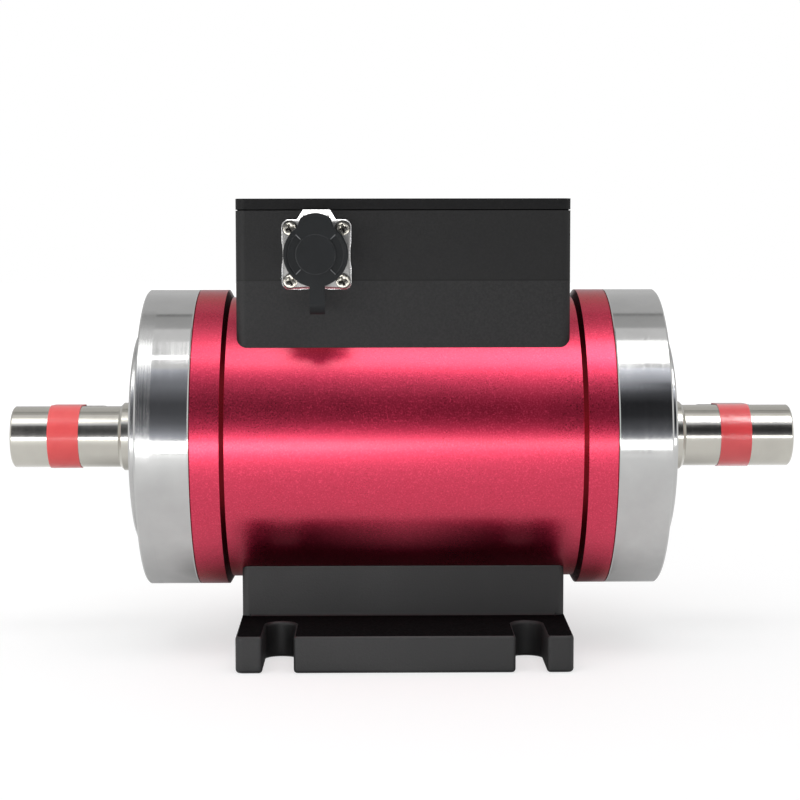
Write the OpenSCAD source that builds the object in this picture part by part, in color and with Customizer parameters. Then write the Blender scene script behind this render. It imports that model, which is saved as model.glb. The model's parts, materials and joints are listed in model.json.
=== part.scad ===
// Rotary torque sensor: a strain-gauged shaft on two ball bearings in a foot-mounted tube,
// with an electronics box on top and a connector under a sprung flip cap.
// Millimetres. X runs along the shaft, Y from front to back, Z up from the floor.
// The connector faces the front, -Y.

/* [Housing] */
// Height of the shaft's axis above the floor
axis_h = 60; // [58:0.5:66]
// Diameter of the tube between its end rings
tube_d = 82.2; // [80:0.2:84]
// Diameter of the tube's end rings and of the end caps
ring_d = 86.5; // [85:0.5:92]
// Inside diameter of the tube
bore_d = 68; // [66:0.5:70]
// Length of the tube
tube_len = 118; // [112:0.5:130]
// Width of each end ring of the tube
ring_w = 8.3; // [7:0.1:10]
// Length of the slope from an end ring down to the tube
ring_slope = 1.2; // [0.8:0.1:2]
// Length of an end cap's rim
cap_len = 15; // [14:0.5:18]
// Diameter of the raised hub on an end cap
hub_d = 61.4; // [56:0.2:64]
// Height of the raised hub
hub_h = 3.1; // [2:0.1:5]
// Chamfer on the turned edges of caps and shaft
edge_chamfer = 0.5; // [0.3:0.1:0.8]
// Chamfer of the tube's ends, which shows as a fine line at the end caps
joint_chamfer = 0.3; // [0.2:0.05:0.4]
// Thickness of the web between bearing and seal
web_t = 2; // [1.5:0.1:3]

/* [Shaft] */
// Diameter of the two shaft ends
shaft_d = 18; // [17:0.5:19]
// Length of each shaft end beyond its collar
shaft_end_len = 32.5; // [31:0.5:45]
// Diameter of the collar and bearing journal
journal_d = 20; // [19.5:0.1:20.5]
// Length of collar that shows outside the hub
collar_len = 4.8; // [3:0.1:8]
// Diameter of the shoulder behind each bearing
shoulder_d = 25; // [24:0.5:26]
// Diameter of the seats that carry the rotor parts
seat_d = 28; // [27:0.5:30]
// Distance from the middle to the inner face of a rotor seat
seat_start = 22; // [20:0.5:23]
// Length of a rotor seat
seat_len = 18; // [17:0.5:20]
// Diameter of the thin twisting neck
neck_d = 16; // [12:0.5:18]
// Half the length of the straight neck
neck_half = 16; // [12:0.5:17]

/* [Keys] */
// Width of a key
key_w = 6; // [5:0.5:7]
// Height of a key
key_h = 6; // [5:0.5:7]
// Length of a key
key_len = 20; // [16:0.5:20]
// Depth of a keyway below the shaft's surface
keyway_depth = 3.5; // [3:0.1:4]
// Distance from the shaft's end face to a key
key_setback = 7.9; // [5:0.1:10]
// Turn of the keys from straight up towards the back, in degrees
key_turn = 59; // [0:1:90]
// Width of the tape that holds a key
tape_w = 9; // [6:0.5:12]
// Thickness of the tape
tape_t = 0.25; // [0.2:0.05:0.4]
// Distance from the left end face to the middle of the left tape
tape_setback_left = 15.4; // [13:0.1:18]
// Distance from the right end face to the middle of the right tape
tape_setback_right = 16.8; // [13:0.1:18]

/* [Bearings] */
// Outside diameter of a bearing
bearing_d = 42; // [40:0.5:44]
// Width of a bearing
bearing_w = 12; // [11:0.5:13]
// Diameter of a ball
ball_d = 6.35; // [6:0.05:6.5]
// Number of balls
ball_count = 9; // [7:1:9]
// Depth of a raceway
race_depth = 1.1; // [0.8:0.1:1.3]
// Thickness of the ring that holds a bearing in its cap
circlip_t = 1.75; // [1.5:0.05:2]
// Length of the cap's lip beyond that ring
circlip_lip = 1.3; // [1:0.1:2]
// Depth of the groove for that ring
circlip_groove = 1.2; // [1:0.1:1.5]
// Outside diameter of a shaft seal
seal_d = 32; // [30:0.5:34]
// Width of a shaft seal
seal_w = 6; // [5:0.1:6.5]

/* [Rotor] */
// Diameter of the rotor coil former
rotor_d = 52; // [48:0.5:54]
// Width of the rotor and stator coils
coil_w = 14; // [12:0.5:14]
// Distance from a seat's inner face to the coil former
coil_offset = 2; // [1:0.5:3]
// Gap between rotor and stator
coil_gap = 1.5; // [1:0.1:2]
// Wall of the coil formers
former_wall = 1.5; // [1:0.1:2]
// Depth of the coil windings
winding_depth = 3; // [2:0.1:3.4]
// Diameter of the rotor's ring-shaped board
rotor_board_d = 46; // [40:1:50]
// Diameter of the toothed speed disc
speed_disc_d = 52; // [46:0.5:54]
// Thickness of the speed disc
speed_disc_t = 4; // [3:0.5:6]
// Number of teeth on the speed disc
speed_teeth = 36; // [24:1:48]
// Depth of the speed disc's tooth gaps
tooth_depth = 3; // [2:0.1:4]
// Diameter of the speed pickup
pickup_d = 8; // [6:0.5:9]
// Gap between the pickup and the speed disc
pickup_gap = 0.8; // [0.5:0.1:1.2]

/* [Electronics box] */
// Length of the box along the shaft
box_len = 93.4; // [92:0.2:97]
// Depth of the box from front to back
box_w = 60.7; // [59:0.1:64]
// Thickness of the box floor over the top of the tube
box_floor_t = 4.5; // [4:0.1:6]
// Depth of the box's cavity
box_cavity_h = 20.2; // [19.6:0.2:26]
// Thickness of the box walls
box_wall = 4; // [3.5:0.1:5]
// Radius of the box's upright edges
box_corner_r = 3; // [2:0.1:4]
// Width of the posts in the box's corners
post_w = 9; // [8:0.5:10]
// Thickness of the lid
lid_t = 3; // [2.5:0.1:4]
// Thickness of the seal under the lid
lid_gasket_t = 0.3; // [0.2:0.1:0.6]
// Inset of that seal from the box's outer faces
lid_gasket_inset = 0.5; // [0.3:0.1:1]
// Height of the board above the box floor
standoff_h = 6; // [5.5:0.5:8]
// Thickness of the circuit boards
board_t = 1.6; // [1:0.1:2]
// Gap between the main board and the box's corner posts
board_clear = 1; // [0.5:0.1:2]
// Distance of the main board's holes from its edges
board_hole_inset = 5; // [4:0.5:7]

/* [Connector] */
// Distance of the connector from the middle, along the shaft
connector_x = -24; // [-28:0.5:-18]
// Depth of the connector's centre below the top of the box
connector_drop = 12.15; // [11.8:0.05:12.6]
// Side of the square flange
flange_w = 19.25; // [19:0.25:21]
// Thickness of the flange
flange_t = 2.2; // [1.8:0.1:3]
// Radius of the flange's corners
flange_corner_r = 2; // [1.5:0.1:2.5]
// Depth of the shallow waist in the flange's sides
flange_waist = 0.3; // [0.2:0.05:0.5]
// Distance of the flange screws from its edges
flange_screw_inset = 2.4; // [2.4:0.1:2.8]
// Depth of the round seats under its screw heads
flange_seat_depth = 0.4; // [0.2:0.1:0.6]
// Thickness of the seal behind the flange
flange_gasket_t = 0.5; // [0.3:0.1:1]
// Diameter of the socket's collar
collar_d = 15.2; // [14.6:0.1:15.4]
// Inside diameter of the socket
socket_d = 12.6; // [12.2:0.1:13]
// Length of the collar in front of the flange
collar_h = 6.5; // [6:0.1:7]
// Diameter of the barrel that goes into the box
barrel_d = 12; // [11.5:0.1:12]
// Length of the barrel behind the box wall
barrel_tail = 6; // [4:0.5:8]
// Wall of the barrel
barrel_wall = 0.8; // [0.6:0.1:1]
// Number of contacts round the centre one
contact_count = 6; // [4:1:7]

/* [Flip cap] */
// Diameter of the cap
flip_d = 17.7; // [17.4:0.1:18]
// Distance from the flange to the cap's front face
flip_reach = 8.5; // [8.3:0.1:9]
// Thickness of the cap's plate
flip_t = 1.4; // [1.2:0.1:1.5]
// Wall of the cap's skirt
flip_wall = 0.75; // [0.6:0.05:0.8]
// Length of skirt that overlaps the collar
flip_overlap = 2; // [1.5:0.1:2.2]
// Radius of the round top of the lobe over the hinge
lobe_r = 6.6; // [6.4:0.1:6.8]
// Height of that round top's centre above the cap's centre
lobe_rise = 4.7; // [4.5:0.1:4.8]
// Width of the lobe where it leaves the cap's disc
lobe_base_w = 9.8; // [9.4:0.1:10]
// Width that the lobe's sides lean in to at its top
lobe_top_w = 7.5; // [7.2:0.1:8]
// Diameter of the raised disc in the middle of the cap
flip_disc_d = 10.7; // [9:0.1:10.8]
// Height of that disc
flip_disc_h = 0.3; // [0.2:0.1:0.5]
// Depth of the two curved hollows beside it
hollow_depth = 0.6; // [0.3:0.1:0.8]
// Angle that each hollow spans
hollow_span = 90; // [60:5:100]
// Width of the finger tab
tab_w = 4.2; // [3.5:0.1:5]
// Reach of the finger tab below the cap's centre
tab_reach = 16.3; // [15:0.1:17]
// Distance of the finger tab to the right of the cap's middle
tab_shift = 0.4; // [0:0.1:0.6]
// Height of the hinge pin above the connector's centre
hinge_rise = 9.5; // [9.4:0.1:9.7]
// Distance of the hinge pin from the flange's face
hinge_reach = 2.9; // [2.8:0.1:3]
// Diameter of the hinge pin
hinge_pin_d = 1.2; // [1:0.1:1.3]
// Radius of the hinge knuckles
knuckle_r = 1.3; // [1.2:0.1:1.4]
// Width of the raised part of the flange that carries the hinge, at its top
bump_top_w = 7.4; // [7.2:0.1:8]
// Width of that raised part at its foot
bump_base_w = 10.7; // [10:0.1:12]
// Height of its top above the connector's centre
bump_rise = 12.3; // [11.8:0.1:12.4]

/* [Base] */
// Length of the foot along the shaft
foot_len = 92.3; // [90:0.1:98]
// Depth of the foot from front to back
foot_w = 100.3; // [97:0.1:110]
// Thickness of the foot
foot_t = 10.3; // [8:0.1:12]
// Radius of the base's upright edges
foot_corner_r = 2; // [1:0.1:3]
// Depth of the pedestal that carries the tube
pedestal_w = 42.5; // [40:0.5:46]
// Radius of the fillet between foot and pedestal
pedestal_fillet = 0.8; // [0.5:0.1:1.5]
// Width of the open bolt slots
slot_w = 8.5; // [7:0.1:9]
// Distance of the slots from the middle, along the shaft
slot_x = 34.5; // [30:0.5:36]
// Distance of the slots' round ends from the middle, front to back
slot_y = 33; // [32:0.5:38]
// Radius of the slots' rounded mouths
slot_mouth_r = 1.2; // [0.5:0.1:1.5]

/* [Fasteners] */
// Thread diameter of the end cap and box screws
m4_d = 4; // [3.5:0.5:4]
// Thread diameter of the base screws
m5_d = 5; // [4.5:0.5:5]
// Thread diameter of the lid and board screws
m3_d = 3; // [2.5:0.5:3]
// Thread diameter of the connector screws
flange_screw_d = 2; // [1.8:0.1:2.1]
// Number of screws in each end cap
cap_screw_count = 6; // [4:1:8]
// Length of thread that holds in the tube's ends
thread_grip = 8; // [6:0.5:10]

/* [Hidden] */
$fn = 96;

// Colours of the finished surfaces
anodised_red = [0.70, 0.13, 0.22];
bright_metal = [0.80, 0.80, 0.82];
steel_grey = [0.62, 0.63, 0.65];
box_black = [0.12, 0.12, 0.13];
rubber_black = [0.06, 0.06, 0.06];
tape_red = [0.85, 0.25, 0.25];
board_green = [0.08, 0.33, 0.16];
copper = [0.72, 0.42, 0.22];
brass_gold = [0.83, 0.66, 0.30];
former_white = [0.85, 0.84, 0.80];

// Clearances: parts that stay together, parts that turn, drilled holes, and cutter overrun
fit_gap = 0.02;
run_gap = 0.06;
hole_gap = 0.25;
overrun = 1;

// Places along the shaft, from the middle outwards
tube_r = tube_d / 2;
ring_r = ring_d / 2;
bore_r = bore_d / 2;
hub_r = hub_d / 2;
tube_half = tube_len / 2;
cap_x1 = tube_half + cap_len;
hub_x1 = cap_x1 + hub_h;
seal_x0 = hub_x1 - seal_w;
bearing_x1 = seal_x0 - web_t;
bearing_x0 = bearing_x1 - bearing_w;
bearing_mid = (bearing_x0 + bearing_x1) / 2;
circlip_x0 = bearing_x0 - circlip_t;
spigot_x0 = circlip_x0 - circlip_lip;
spigot_r = bore_r - run_gap;
journal_x1 = hub_x1 + collar_len;
shaft_x1 = journal_x1 + shaft_end_len;
shaft_r = shaft_d / 2;
journal_r = journal_d / 2;
shoulder_r = shoulder_d / 2;
seat_r = seat_d / 2;
seat_x1 = seat_start + seat_len;
neck_r = neck_d / 2;
neck_shoulder_r = (neck_r + seat_r) / 2;

// Bearing sizes
bearing_r = bearing_d / 2;
ball_r = ball_d / 2;
pitch_r = (journal_r + bearing_r) / 2;
outer_land_r = pitch_r + ball_r - race_depth;
inner_land_r = pitch_r - ball_r + race_depth;
race_r = ball_r + run_gap;
shield_t = 0.4;
shield_inset = 0.5;
cage_wall = 1;
cage_rim = 0.8;
cage_half_w = race_r + cage_rim;
seal_r = seal_d / 2;
lip_w = 0.8;
lip_inset = 1.2;
lip_flare = 2.4;
lip_root = 1.5;
lip_x1 = hub_x1 - edge_chamfer - lip_inset;
web_hole_r = shoulder_r;
circlip_r = bearing_r + circlip_groove;
circlip_w = 3;
circlip_inner_r = bearing_r - circlip_w;

// Rotor and stator sizes
rotor_r = rotor_d / 2;
coil_x0 = seat_start + coil_offset;
coil_x1 = coil_x0 + coil_w;
stator_inner_r = rotor_r + coil_gap;
stator_outer_r = bore_r - fit_gap;
speed_disc_x = seat_start + coil_offset;
pickup_x = speed_disc_x + speed_disc_t / 2;
pickup_r = pickup_d / 2;
pickup_flange_w = 2;
pickup_flange_r = pickup_r + pickup_flange_w;
pickup_flange_t = 2.5;
tooth_gap_w = PI * speed_disc_d / speed_teeth / 2;
gauge_t = 0.2;
gauge_len = 8;
gauge_w = 6;
gauge_count = 4;
rotor_chip_h = 1.2;
rotor_chip_w = 4;
rotor_chip_count = 5;

// Key and tape sizes
key_x1 = shaft_x1 - key_setback;
key_x0 = key_x1 - key_len;
key_seat = shaft_r - keyway_depth;
key_top = key_seat + key_h;

// Screw sizes
m4_head_d = 1.75 * m4_d;
m5_head_d = 1.7 * m5_d;
cap_seat_x = cap_x1 - m4_d - edge_chamfer;
cap_screw_r = (bore_r + ring_r) / 2;
cap_screw_turn = 30;
base_screw_x = 30;
base_screw_y = 10;
base_seat_z = m5_d + edge_chamfer;
box_screw_x = 38;
box_screw_y = 8;
tip_clearance = 1.5;
bore_drop = sqrt(bore_r * bore_r - base_screw_y * base_screw_y);
base_tip_z = axis_h - bore_drop - tip_clearance;
box_tip_z = axis_h + sqrt(bore_r * bore_r - box_screw_y * box_screw_y) + tip_clearance;

// Box and board places
saddle_r = tube_r + fit_gap;
box_floor_z = axis_h + tube_r + box_floor_t;
box_top_z = box_floor_z + box_cavity_h;
lid_z0 = box_top_z + lid_gasket_t;
lid_z1 = lid_z0 + lid_t;
lid_screw_inset = (box_wall + post_w) / 2;
lid_screw_x = box_len / 2 - lid_screw_inset;
lid_screw_y = box_w / 2 - lid_screw_inset;
lid_screw_len = lid_t + lid_gasket_t + thread_grip;
board_z0 = box_floor_z + standoff_h;
board_z1 = board_z0 + board_t;
board_len = box_len - 2 * (box_wall + post_w + board_clear);
board_y0 = -box_w / 2 + box_wall + barrel_tail + 4 * board_clear;
board_y1 = box_w / 2 - box_wall - 2 * board_clear;
board_mid_y = (board_y0 + board_y1) / 2;
board_w = board_y1 - board_y0;
board_hole_x = board_len / 2 - board_hole_inset;
board_hole_y = board_w / 2 - board_hole_inset;
standoff_r = 3;
leads_x = -(coil_x0 + coil_x1) / 2;
leads_r = 1.5;

// Connector places, outwards from the box's front face
connector_z = box_top_z - connector_drop;
flange_z0 = flange_gasket_t;
flange_z1 = flange_z0 + flange_t;
collar_r = collar_d / 2;
socket_r = socket_d / 2;
barrel_r = barrel_d / 2;
barrel_bore_r = barrel_r - barrel_wall;
collar_z1 = flange_z1 + collar_h;
barrel_z0 = -box_wall - barrel_tail;
insert_inset = 0.5;
insert_z0 = barrel_z0 + insert_inset;
contact_r = 0.6;
contact_ring_r = 0.62 * barrel_bore_r;
contact_bore_r = 0.6 * contact_r;
flange_screw_at = flange_w / 2 - flange_screw_inset;
flange_head_d = 1.95 * flange_screw_d;
flange_head_h = 0.65 * flange_screw_d;
flange_seat_z = flange_z1 - flange_seat_depth;
recess_turn = 20;

// Flip cap places, outwards from the box's front face
flip_r = flip_d / 2;
flip_z1 = flange_z1 + flip_reach;
flip_z0 = flip_z1 - flip_t;
skirt_z0 = collar_z1 - flip_overlap;
skirt_r = flip_r - flip_wall;
seal_gap = 0.05;
hinge_z = flange_z1 + hinge_reach;
hinge_pin_r = hinge_pin_d / 2;
ear_t = 1.2;
ear_x0 = bump_top_w / 2 - ear_t;
ear_gap = 0.15;
knuckle_half = ear_x0 - ear_gap;
spring_half = 1.1;
spring_wire_r = 0.17;
spring_turns = 5;
tab_bend_r = 4;
tab_bend_turn = 50;
tab_straight = tab_reach - tab_bend_r * sin(tab_bend_turn);
tab_steps = 8;
flip_rim = 1;
disc_rim = 0.25;
lobe_top = lobe_rise + lobe_r;
lobe_foot = sqrt(pow(flip_r, 2) - pow(lobe_base_w / 2, 2));

// Place a shape that is turned about Z onto the shaft's axis, pointing right (1) or left (-1)
module on_axis(side = 1)
  translate([0, 0, axis_h]) rotate([0, 90 * side, 0]) children();

// Ring on the shaft's axis between two radii and two places
module axis_ring(outer, inner, start, stop, side = 1)
  on_axis(side) rotate_extrude() translate([inner, start]) square([outer - inner, stop - start]);

// Sweep a flat front-to-back section along the shaft
module along_shaft(start, length)
  translate([start, 0, axis_h]) rotate([90, 0, 90]) linear_extrude(length) children();

// Same, turned with the keys
module along_keys(start, length)
  translate([start, 0, axis_h]) rotate([-key_turn, 0, 0]) rotate([90, 0, 90])
    linear_extrude(length) children();

// Place a shape on the box's front face, its Z pointing out to the front
module on_front()
  translate([connector_x, -box_w / 2, connector_z]) rotate([90, 0, 0]) children();

// Four copies at plus and minus x and y
module at_corners(x, y)
  for (sx = [-1, 1], sy = [-1, 1]) translate([sx * x, sy * y, 0]) children();

// Evenly spaced copies round Z
module around(count, radius, start = 0)
  for (i = [0 : count - 1]) rotate([0, 0, start + i * 360 / count]) translate([radius, 0, 0]) children();

module rounded_rect(width, depth, corner) {
  square([width - 2 * corner, depth], center = true);
  square([width, depth - 2 * corner], center = true);
  at_corners(width / 2 - corner, depth / 2 - corner) circle(corner);
}

module rounded_block(width, depth, corner, low, high)
  translate([0, 0, low]) linear_extrude(high - low) rounded_rect(width, depth, corner);

module obround(length, width) {
  square([length - width, width], center = true);
  for (s = [-1, 1]) translate([s * (length - width) / 2, 0]) circle(width / 2);
}

// Screw with a round head and a hexagon socket, its head's seat at Z 0 and its thread below
module socket_screw(thread, head, length) {
  hex_r = thread * 0.75 / sqrt(3);
  difference() {
    union() {
      translate([0, 0, -length]) cylinder(d = thread, h = length);
      cylinder(d = head, h = thread);
    }
    translate([0, 0, thread / 2]) cylinder(r = hex_r, h = thread, $fn = 6);
  }
}

// Cross-shaped driver recess, its top at Z 0
module cross_recess(size, depth)
  for (turn = [0, 90]) rotate([0, 0, turn])
    translate([-size / 2, -size / 8, -depth]) cube([size, size / 4, depth + overrun]);

// Screw with a low round head and a cross recess, its head's seat at Z 0
module pan_screw(thread, head, head_h, length)
  difference() {
    union() {
      translate([0, 0, -length]) cylinder(d = thread, h = length);
      cylinder(d = head, h = head_h);
    }
    translate([0, 0, head_h]) cross_recess(head * 0.6, head_h * 0.6);
  }

// Screw with a countersunk head, its top at Z 0
module flat_screw(thread, length) {
  head_r = thread;
  difference() {
    union() {
      translate([0, 0, -length]) cylinder(d = thread, h = length);
      translate([0, 0, -thread / 2]) cylinder(r1 = thread / 2, r2 = head_r, h = thread / 2);
    }
    cross_recess(thread, thread * 0.4);
  }
}

// Red tube with its two end rings
module housing_tube() color(anodised_red) difference() {
  on_axis() rotate_extrude() polygon([
    [bore_r, -tube_half], [ring_r - joint_chamfer, -tube_half], [ring_r, -tube_half + joint_chamfer],
    [ring_r, -tube_half + ring_w], [tube_r, -tube_half + ring_w + ring_slope],
    [tube_r, tube_half - ring_w - ring_slope], [ring_r, tube_half - ring_w],
    [ring_r, tube_half - joint_chamfer], [ring_r - joint_chamfer, tube_half], [bore_r, tube_half]
  ]);
  for (side = [-1, 1])
    on_axis(side) around(cap_screw_count, cap_screw_r, cap_screw_turn)
      translate([0, 0, tube_half - thread_grip - overrun])
        cylinder(d = m4_d + fit_gap, h = thread_grip + 2 * overrun);
  at_corners(base_screw_x, base_screw_y) cylinder(d = m5_d + fit_gap, h = axis_h);
  translate([0, 0, axis_h]) {
    at_corners(box_screw_x, box_screw_y) cylinder(d = m4_d + fit_gap, h = ring_r);
    translate([pickup_x, 0, 0]) cylinder(r = pickup_r + fit_gap, h = ring_r);
    translate([leads_x, 0, 0]) cylinder(r = leads_r + fit_gap, h = ring_r);
  }
}

// Turned end cap with spigot, bearing seat, web, seal pocket and hub
module end_cap(side) color(bright_metal) on_axis(side) difference() {
  rotate_extrude() polygon([
    [spigot_r, spigot_x0], [spigot_r, tube_half], [ring_r, tube_half],
    [ring_r, cap_x1 - edge_chamfer], [ring_r - edge_chamfer, cap_x1],
    [hub_r, cap_x1], [hub_r, hub_x1 - edge_chamfer], [hub_r - edge_chamfer, hub_x1],
    [seal_r, hub_x1], [seal_r, seal_x0], [web_hole_r, seal_x0], [web_hole_r, bearing_x1],
    [bearing_r + fit_gap, bearing_x1], [bearing_r + fit_gap, bearing_x0],
    [circlip_r + fit_gap, bearing_x0], [circlip_r + fit_gap, circlip_x0],
    [bearing_r + fit_gap, circlip_x0], [bearing_r + fit_gap, spigot_x0]
  ]);
  around(cap_screw_count, cap_screw_r, cap_screw_turn) {
    translate([0, 0, tube_half - overrun]) cylinder(d = m4_d + 2 * hole_gap, h = cap_len + 2 * overrun);
    translate([0, 0, cap_seat_x]) cylinder(d = m4_head_d + 2 * hole_gap, h = cap_len);
  }
}

module end_cap_screws(side) color(steel_grey) on_axis(side)
  around(cap_screw_count, cap_screw_r, cap_screw_turn) translate([0, 0, cap_seat_x])
    socket_screw(m4_d, m4_head_d, cap_seat_x - tube_half + thread_grip);

// Outline of one open bolt slot at the front, its round end towards the middle
module slot_outline() {
  mouth = foot_w / 2 - slot_y;
  circle(d = slot_w);
  translate([-slot_w / 2, -mouth - overrun]) square([slot_w, mouth + overrun]);
  for (s = [-1, 1]) translate([s * slot_w / 2, -mouth]) difference() {
    translate([-slot_mouth_r, -overrun]) square([2 * slot_mouth_r, slot_mouth_r + overrun]);
    translate([s * slot_mouth_r, slot_mouth_r]) circle(slot_mouth_r);
  }
}

// Black base: foot with open slots, pedestal and saddle for the tube
module base_foot() color(box_black) difference() {
  union() {
    rounded_block(foot_len, foot_w, foot_corner_r, 0, foot_t);
    rounded_block(foot_len, pedestal_w, foot_corner_r, 0, axis_h - bore_drop);
    for (s = [-1, 1]) scale([1, s, 1])
      translate([-foot_len / 2 + foot_corner_r, pedestal_w / 2, foot_t]) difference() {
        translate([0, -overrun, -overrun])
          cube([foot_len - 2 * foot_corner_r, overrun + pedestal_fillet, overrun + pedestal_fillet]);
        translate([-overrun, pedestal_fillet, pedestal_fillet]) rotate([0, 90, 0])
          cylinder(r = pedestal_fillet, h = foot_len);
      }
  }
  along_shaft(-foot_len, 2 * foot_len) circle(saddle_r);
  for (s = [-1, 1], back = [0, 180]) rotate([0, 0, back])
    translate([s * slot_x, -slot_y, -overrun]) linear_extrude(foot_t + 2 * overrun) slot_outline();
  at_corners(base_screw_x, base_screw_y) {
    translate([0, 0, -overrun]) cylinder(d = m5_head_d + 2 * hole_gap, h = base_seat_z + overrun);
    cylinder(d = m5_d + 2 * hole_gap, h = axis_h);
  }
}

module base_screws() color(steel_grey)
  at_corners(base_screw_x, base_screw_y) translate([0, 0, base_seat_z]) rotate([180, 0, 0])
    socket_screw(m5_d, m5_head_d, base_tip_z - base_seat_z);

// Black box milled from one block, with corner posts and a saddle for the tube
module electronics_box() color(box_black) difference() {
  rounded_block(box_len, box_w, box_corner_r, axis_h, box_top_z);
  along_shaft(-box_len, 2 * box_len) circle(saddle_r);
  difference() {
    translate([-box_len / 2 + box_wall, -box_w / 2 + box_wall, box_floor_z])
      cube([box_len - 2 * box_wall, box_w - 2 * box_wall, box_cavity_h + overrun]);
    at_corners(box_len / 2 - box_wall, box_w / 2 - box_wall)
      translate([-post_w, -post_w, axis_h]) cube([2 * post_w, 2 * post_w, box_top_z]);
  }
  at_corners(lid_screw_x, lid_screw_y) translate([0, 0, box_top_z - thread_grip - overrun])
    cylinder(d = m3_d + fit_gap, h = thread_grip + 2 * overrun);
  translate([0, 0, axis_h]) {
    at_corners(box_screw_x, box_screw_y) cylinder(d = m4_d + 2 * hole_gap, h = ring_d);
    translate([pickup_x, 0, 0]) cylinder(r = pickup_r + fit_gap, h = ring_d);
    translate([leads_x, 0, 0]) cylinder(r = leads_r + fit_gap, h = ring_d);
  }
  on_front() {
    translate([0, 0, -box_wall - overrun]) cylinder(r = barrel_r + hole_gap, h = box_wall + 2 * overrun);
    at_corners(flange_screw_at, flange_screw_at) translate([0, 0, -box_wall - overrun])
      cylinder(d = flange_screw_d + fit_gap, h = box_wall + 2 * overrun);
  }
}

module box_screws() color(steel_grey)
  at_corners(box_screw_x, box_screw_y) translate([0, 0, box_floor_z])
    socket_screw(m4_d, m4_head_d, box_floor_z - box_tip_z);

module lid_gasket() color(rubber_black) difference() {
  rounded_block(box_len - 2 * lid_gasket_inset, box_w - 2 * lid_gasket_inset,
    box_corner_r - lid_gasket_inset, box_top_z, lid_z0);
  translate([-box_len / 2 + box_wall, -lid_screw_y + post_w / 2, axis_h])
    cube([box_len - 2 * box_wall, 2 * lid_screw_y - post_w, box_top_z]);
  translate([-lid_screw_x + post_w / 2, -box_w / 2 + box_wall, axis_h])
    cube([2 * lid_screw_x - post_w, box_w - 2 * box_wall, box_top_z]);
  at_corners(lid_screw_x, lid_screw_y) cylinder(d = m3_d + 2 * hole_gap, h = lid_z1);
}

module box_lid() color(box_black) difference() {
  rounded_block(box_len, box_w, box_corner_r, lid_z0, lid_z1);
  at_corners(lid_screw_x, lid_screw_y) {
    cylinder(d = m3_d + 2 * hole_gap, h = lid_z1 + overrun);
    translate([0, 0, lid_z1 - m3_d / 2 - fit_gap])
      cylinder(r1 = m3_d / 2 + hole_gap, r2 = m3_d + hole_gap, h = m3_d / 2 + 2 * fit_gap);
  }
}

module lid_screws() color(steel_grey)
  at_corners(lid_screw_x, lid_screw_y) translate([0, 0, lid_z1])
    flat_screw(m3_d, lid_screw_len);

// Square flange outline with shallow waists in its sides
module flange_outline(side) {
  bite_r = side * 1.2;
  difference() {
    rounded_rect(side, side, flange_corner_r);
    for (turn = [90, 180, 270]) rotate([0, 0, turn])
      translate([0, side / 2 + bite_r - flange_waist]) circle(bite_r);
  }
}

module connector_gasket() color(rubber_black) on_front() linear_extrude(flange_gasket_t)
  difference() {
    flange_outline(flange_w - 2 * lid_gasket_inset);
    circle(barrel_r + hole_gap);
    at_corners(flange_screw_at, flange_screw_at) circle(d = flange_screw_d + 2 * hole_gap);
  }

// Bright socket: flange with hinge bump and ears, collar in front and barrel behind
module connector_shell() color(bright_metal) on_front() difference() {
  union() {
    translate([0, 0, flange_z0]) linear_extrude(flange_t) {
      flange_outline(flange_w);
      polygon([
        [-bump_base_w / 2, 0], [bump_base_w / 2, 0], [bump_base_w / 2, flange_w / 2],
        [bump_top_w / 2, bump_rise], [-bump_top_w / 2, bump_rise], [-bump_base_w / 2, flange_w / 2]
      ]);
    }
    translate([0, 0, flange_z0]) cylinder(r = collar_r, h = collar_z1 - flange_z0);
    translate([0, 0, barrel_z0]) cylinder(r = barrel_r, h = flange_z1 - barrel_z0);
    for (s = [0, 1]) mirror([s, 0, 0]) {
      translate([ear_x0, hinge_rise, hinge_z]) rotate([0, 90, 0]) cylinder(r = knuckle_r, h = ear_t);
      translate([ear_x0, hinge_rise - knuckle_r, flange_z0])
        cube([ear_t, 2 * knuckle_r, hinge_z - flange_z0]);
    }
  }
  translate([0, 0, flange_z1]) cylinder(r = socket_r, h = collar_h + overrun);
  translate([0, 0, barrel_z0 - overrun])
    cylinder(r = barrel_bore_r, h = flange_z1 - barrel_z0 + 2 * overrun);
  translate([-bump_top_w, hinge_rise, hinge_z]) rotate([0, 90, 0])
    cylinder(r = hinge_pin_r + fit_gap, h = 2 * bump_top_w);
  at_corners(flange_screw_at, flange_screw_at) {
    cylinder(d = flange_screw_d + 2 * hole_gap, h = flange_z1 + overrun);
    translate([0, 0, flange_seat_z])
      cylinder(d = flange_head_d + 2 * hole_gap, h = flange_seat_depth + overrun);
  }
}

module connector_screws() color(steel_grey) on_front()
  at_corners(flange_screw_at, flange_screw_at) translate([0, 0, flange_seat_z]) rotate([0, 0, recess_turn])
    pan_screw(flange_screw_d, flange_head_d, flange_head_h, flange_seat_z + box_wall);

// Copies at the centre and round it, one for each contact
module at_contacts() {
  children();
  around(contact_count, contact_ring_r, 90) children();
}

module connector_insert() color(rubber_black) on_front() difference() {
  translate([0, 0, insert_z0]) cylinder(r = barrel_bore_r - fit_gap, h = flange_z1 - insert_z0);
  at_contacts() translate([0, 0, insert_z0 - overrun])
    cylinder(r = contact_r + fit_gap, h = flange_z1 - insert_z0 + 2 * overrun);
}

module connector_contacts() color(brass_gold) on_front() at_contacts() difference() {
  translate([0, 0, barrel_z0 - overrun])
    cylinder(r = contact_r, h = flange_z1 - barrel_z0 + overrun - hole_gap);
  translate([0, 0, flange_z0]) cylinder(r = contact_bore_r, h = flange_t + overrun);
}

module cap_hinge_pin() color(steel_grey) on_front()
  translate([-bump_top_w / 2, hinge_rise, hinge_z]) rotate([0, 90, 0])
    cylinder(r = hinge_pin_r, h = bump_top_w);

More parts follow.
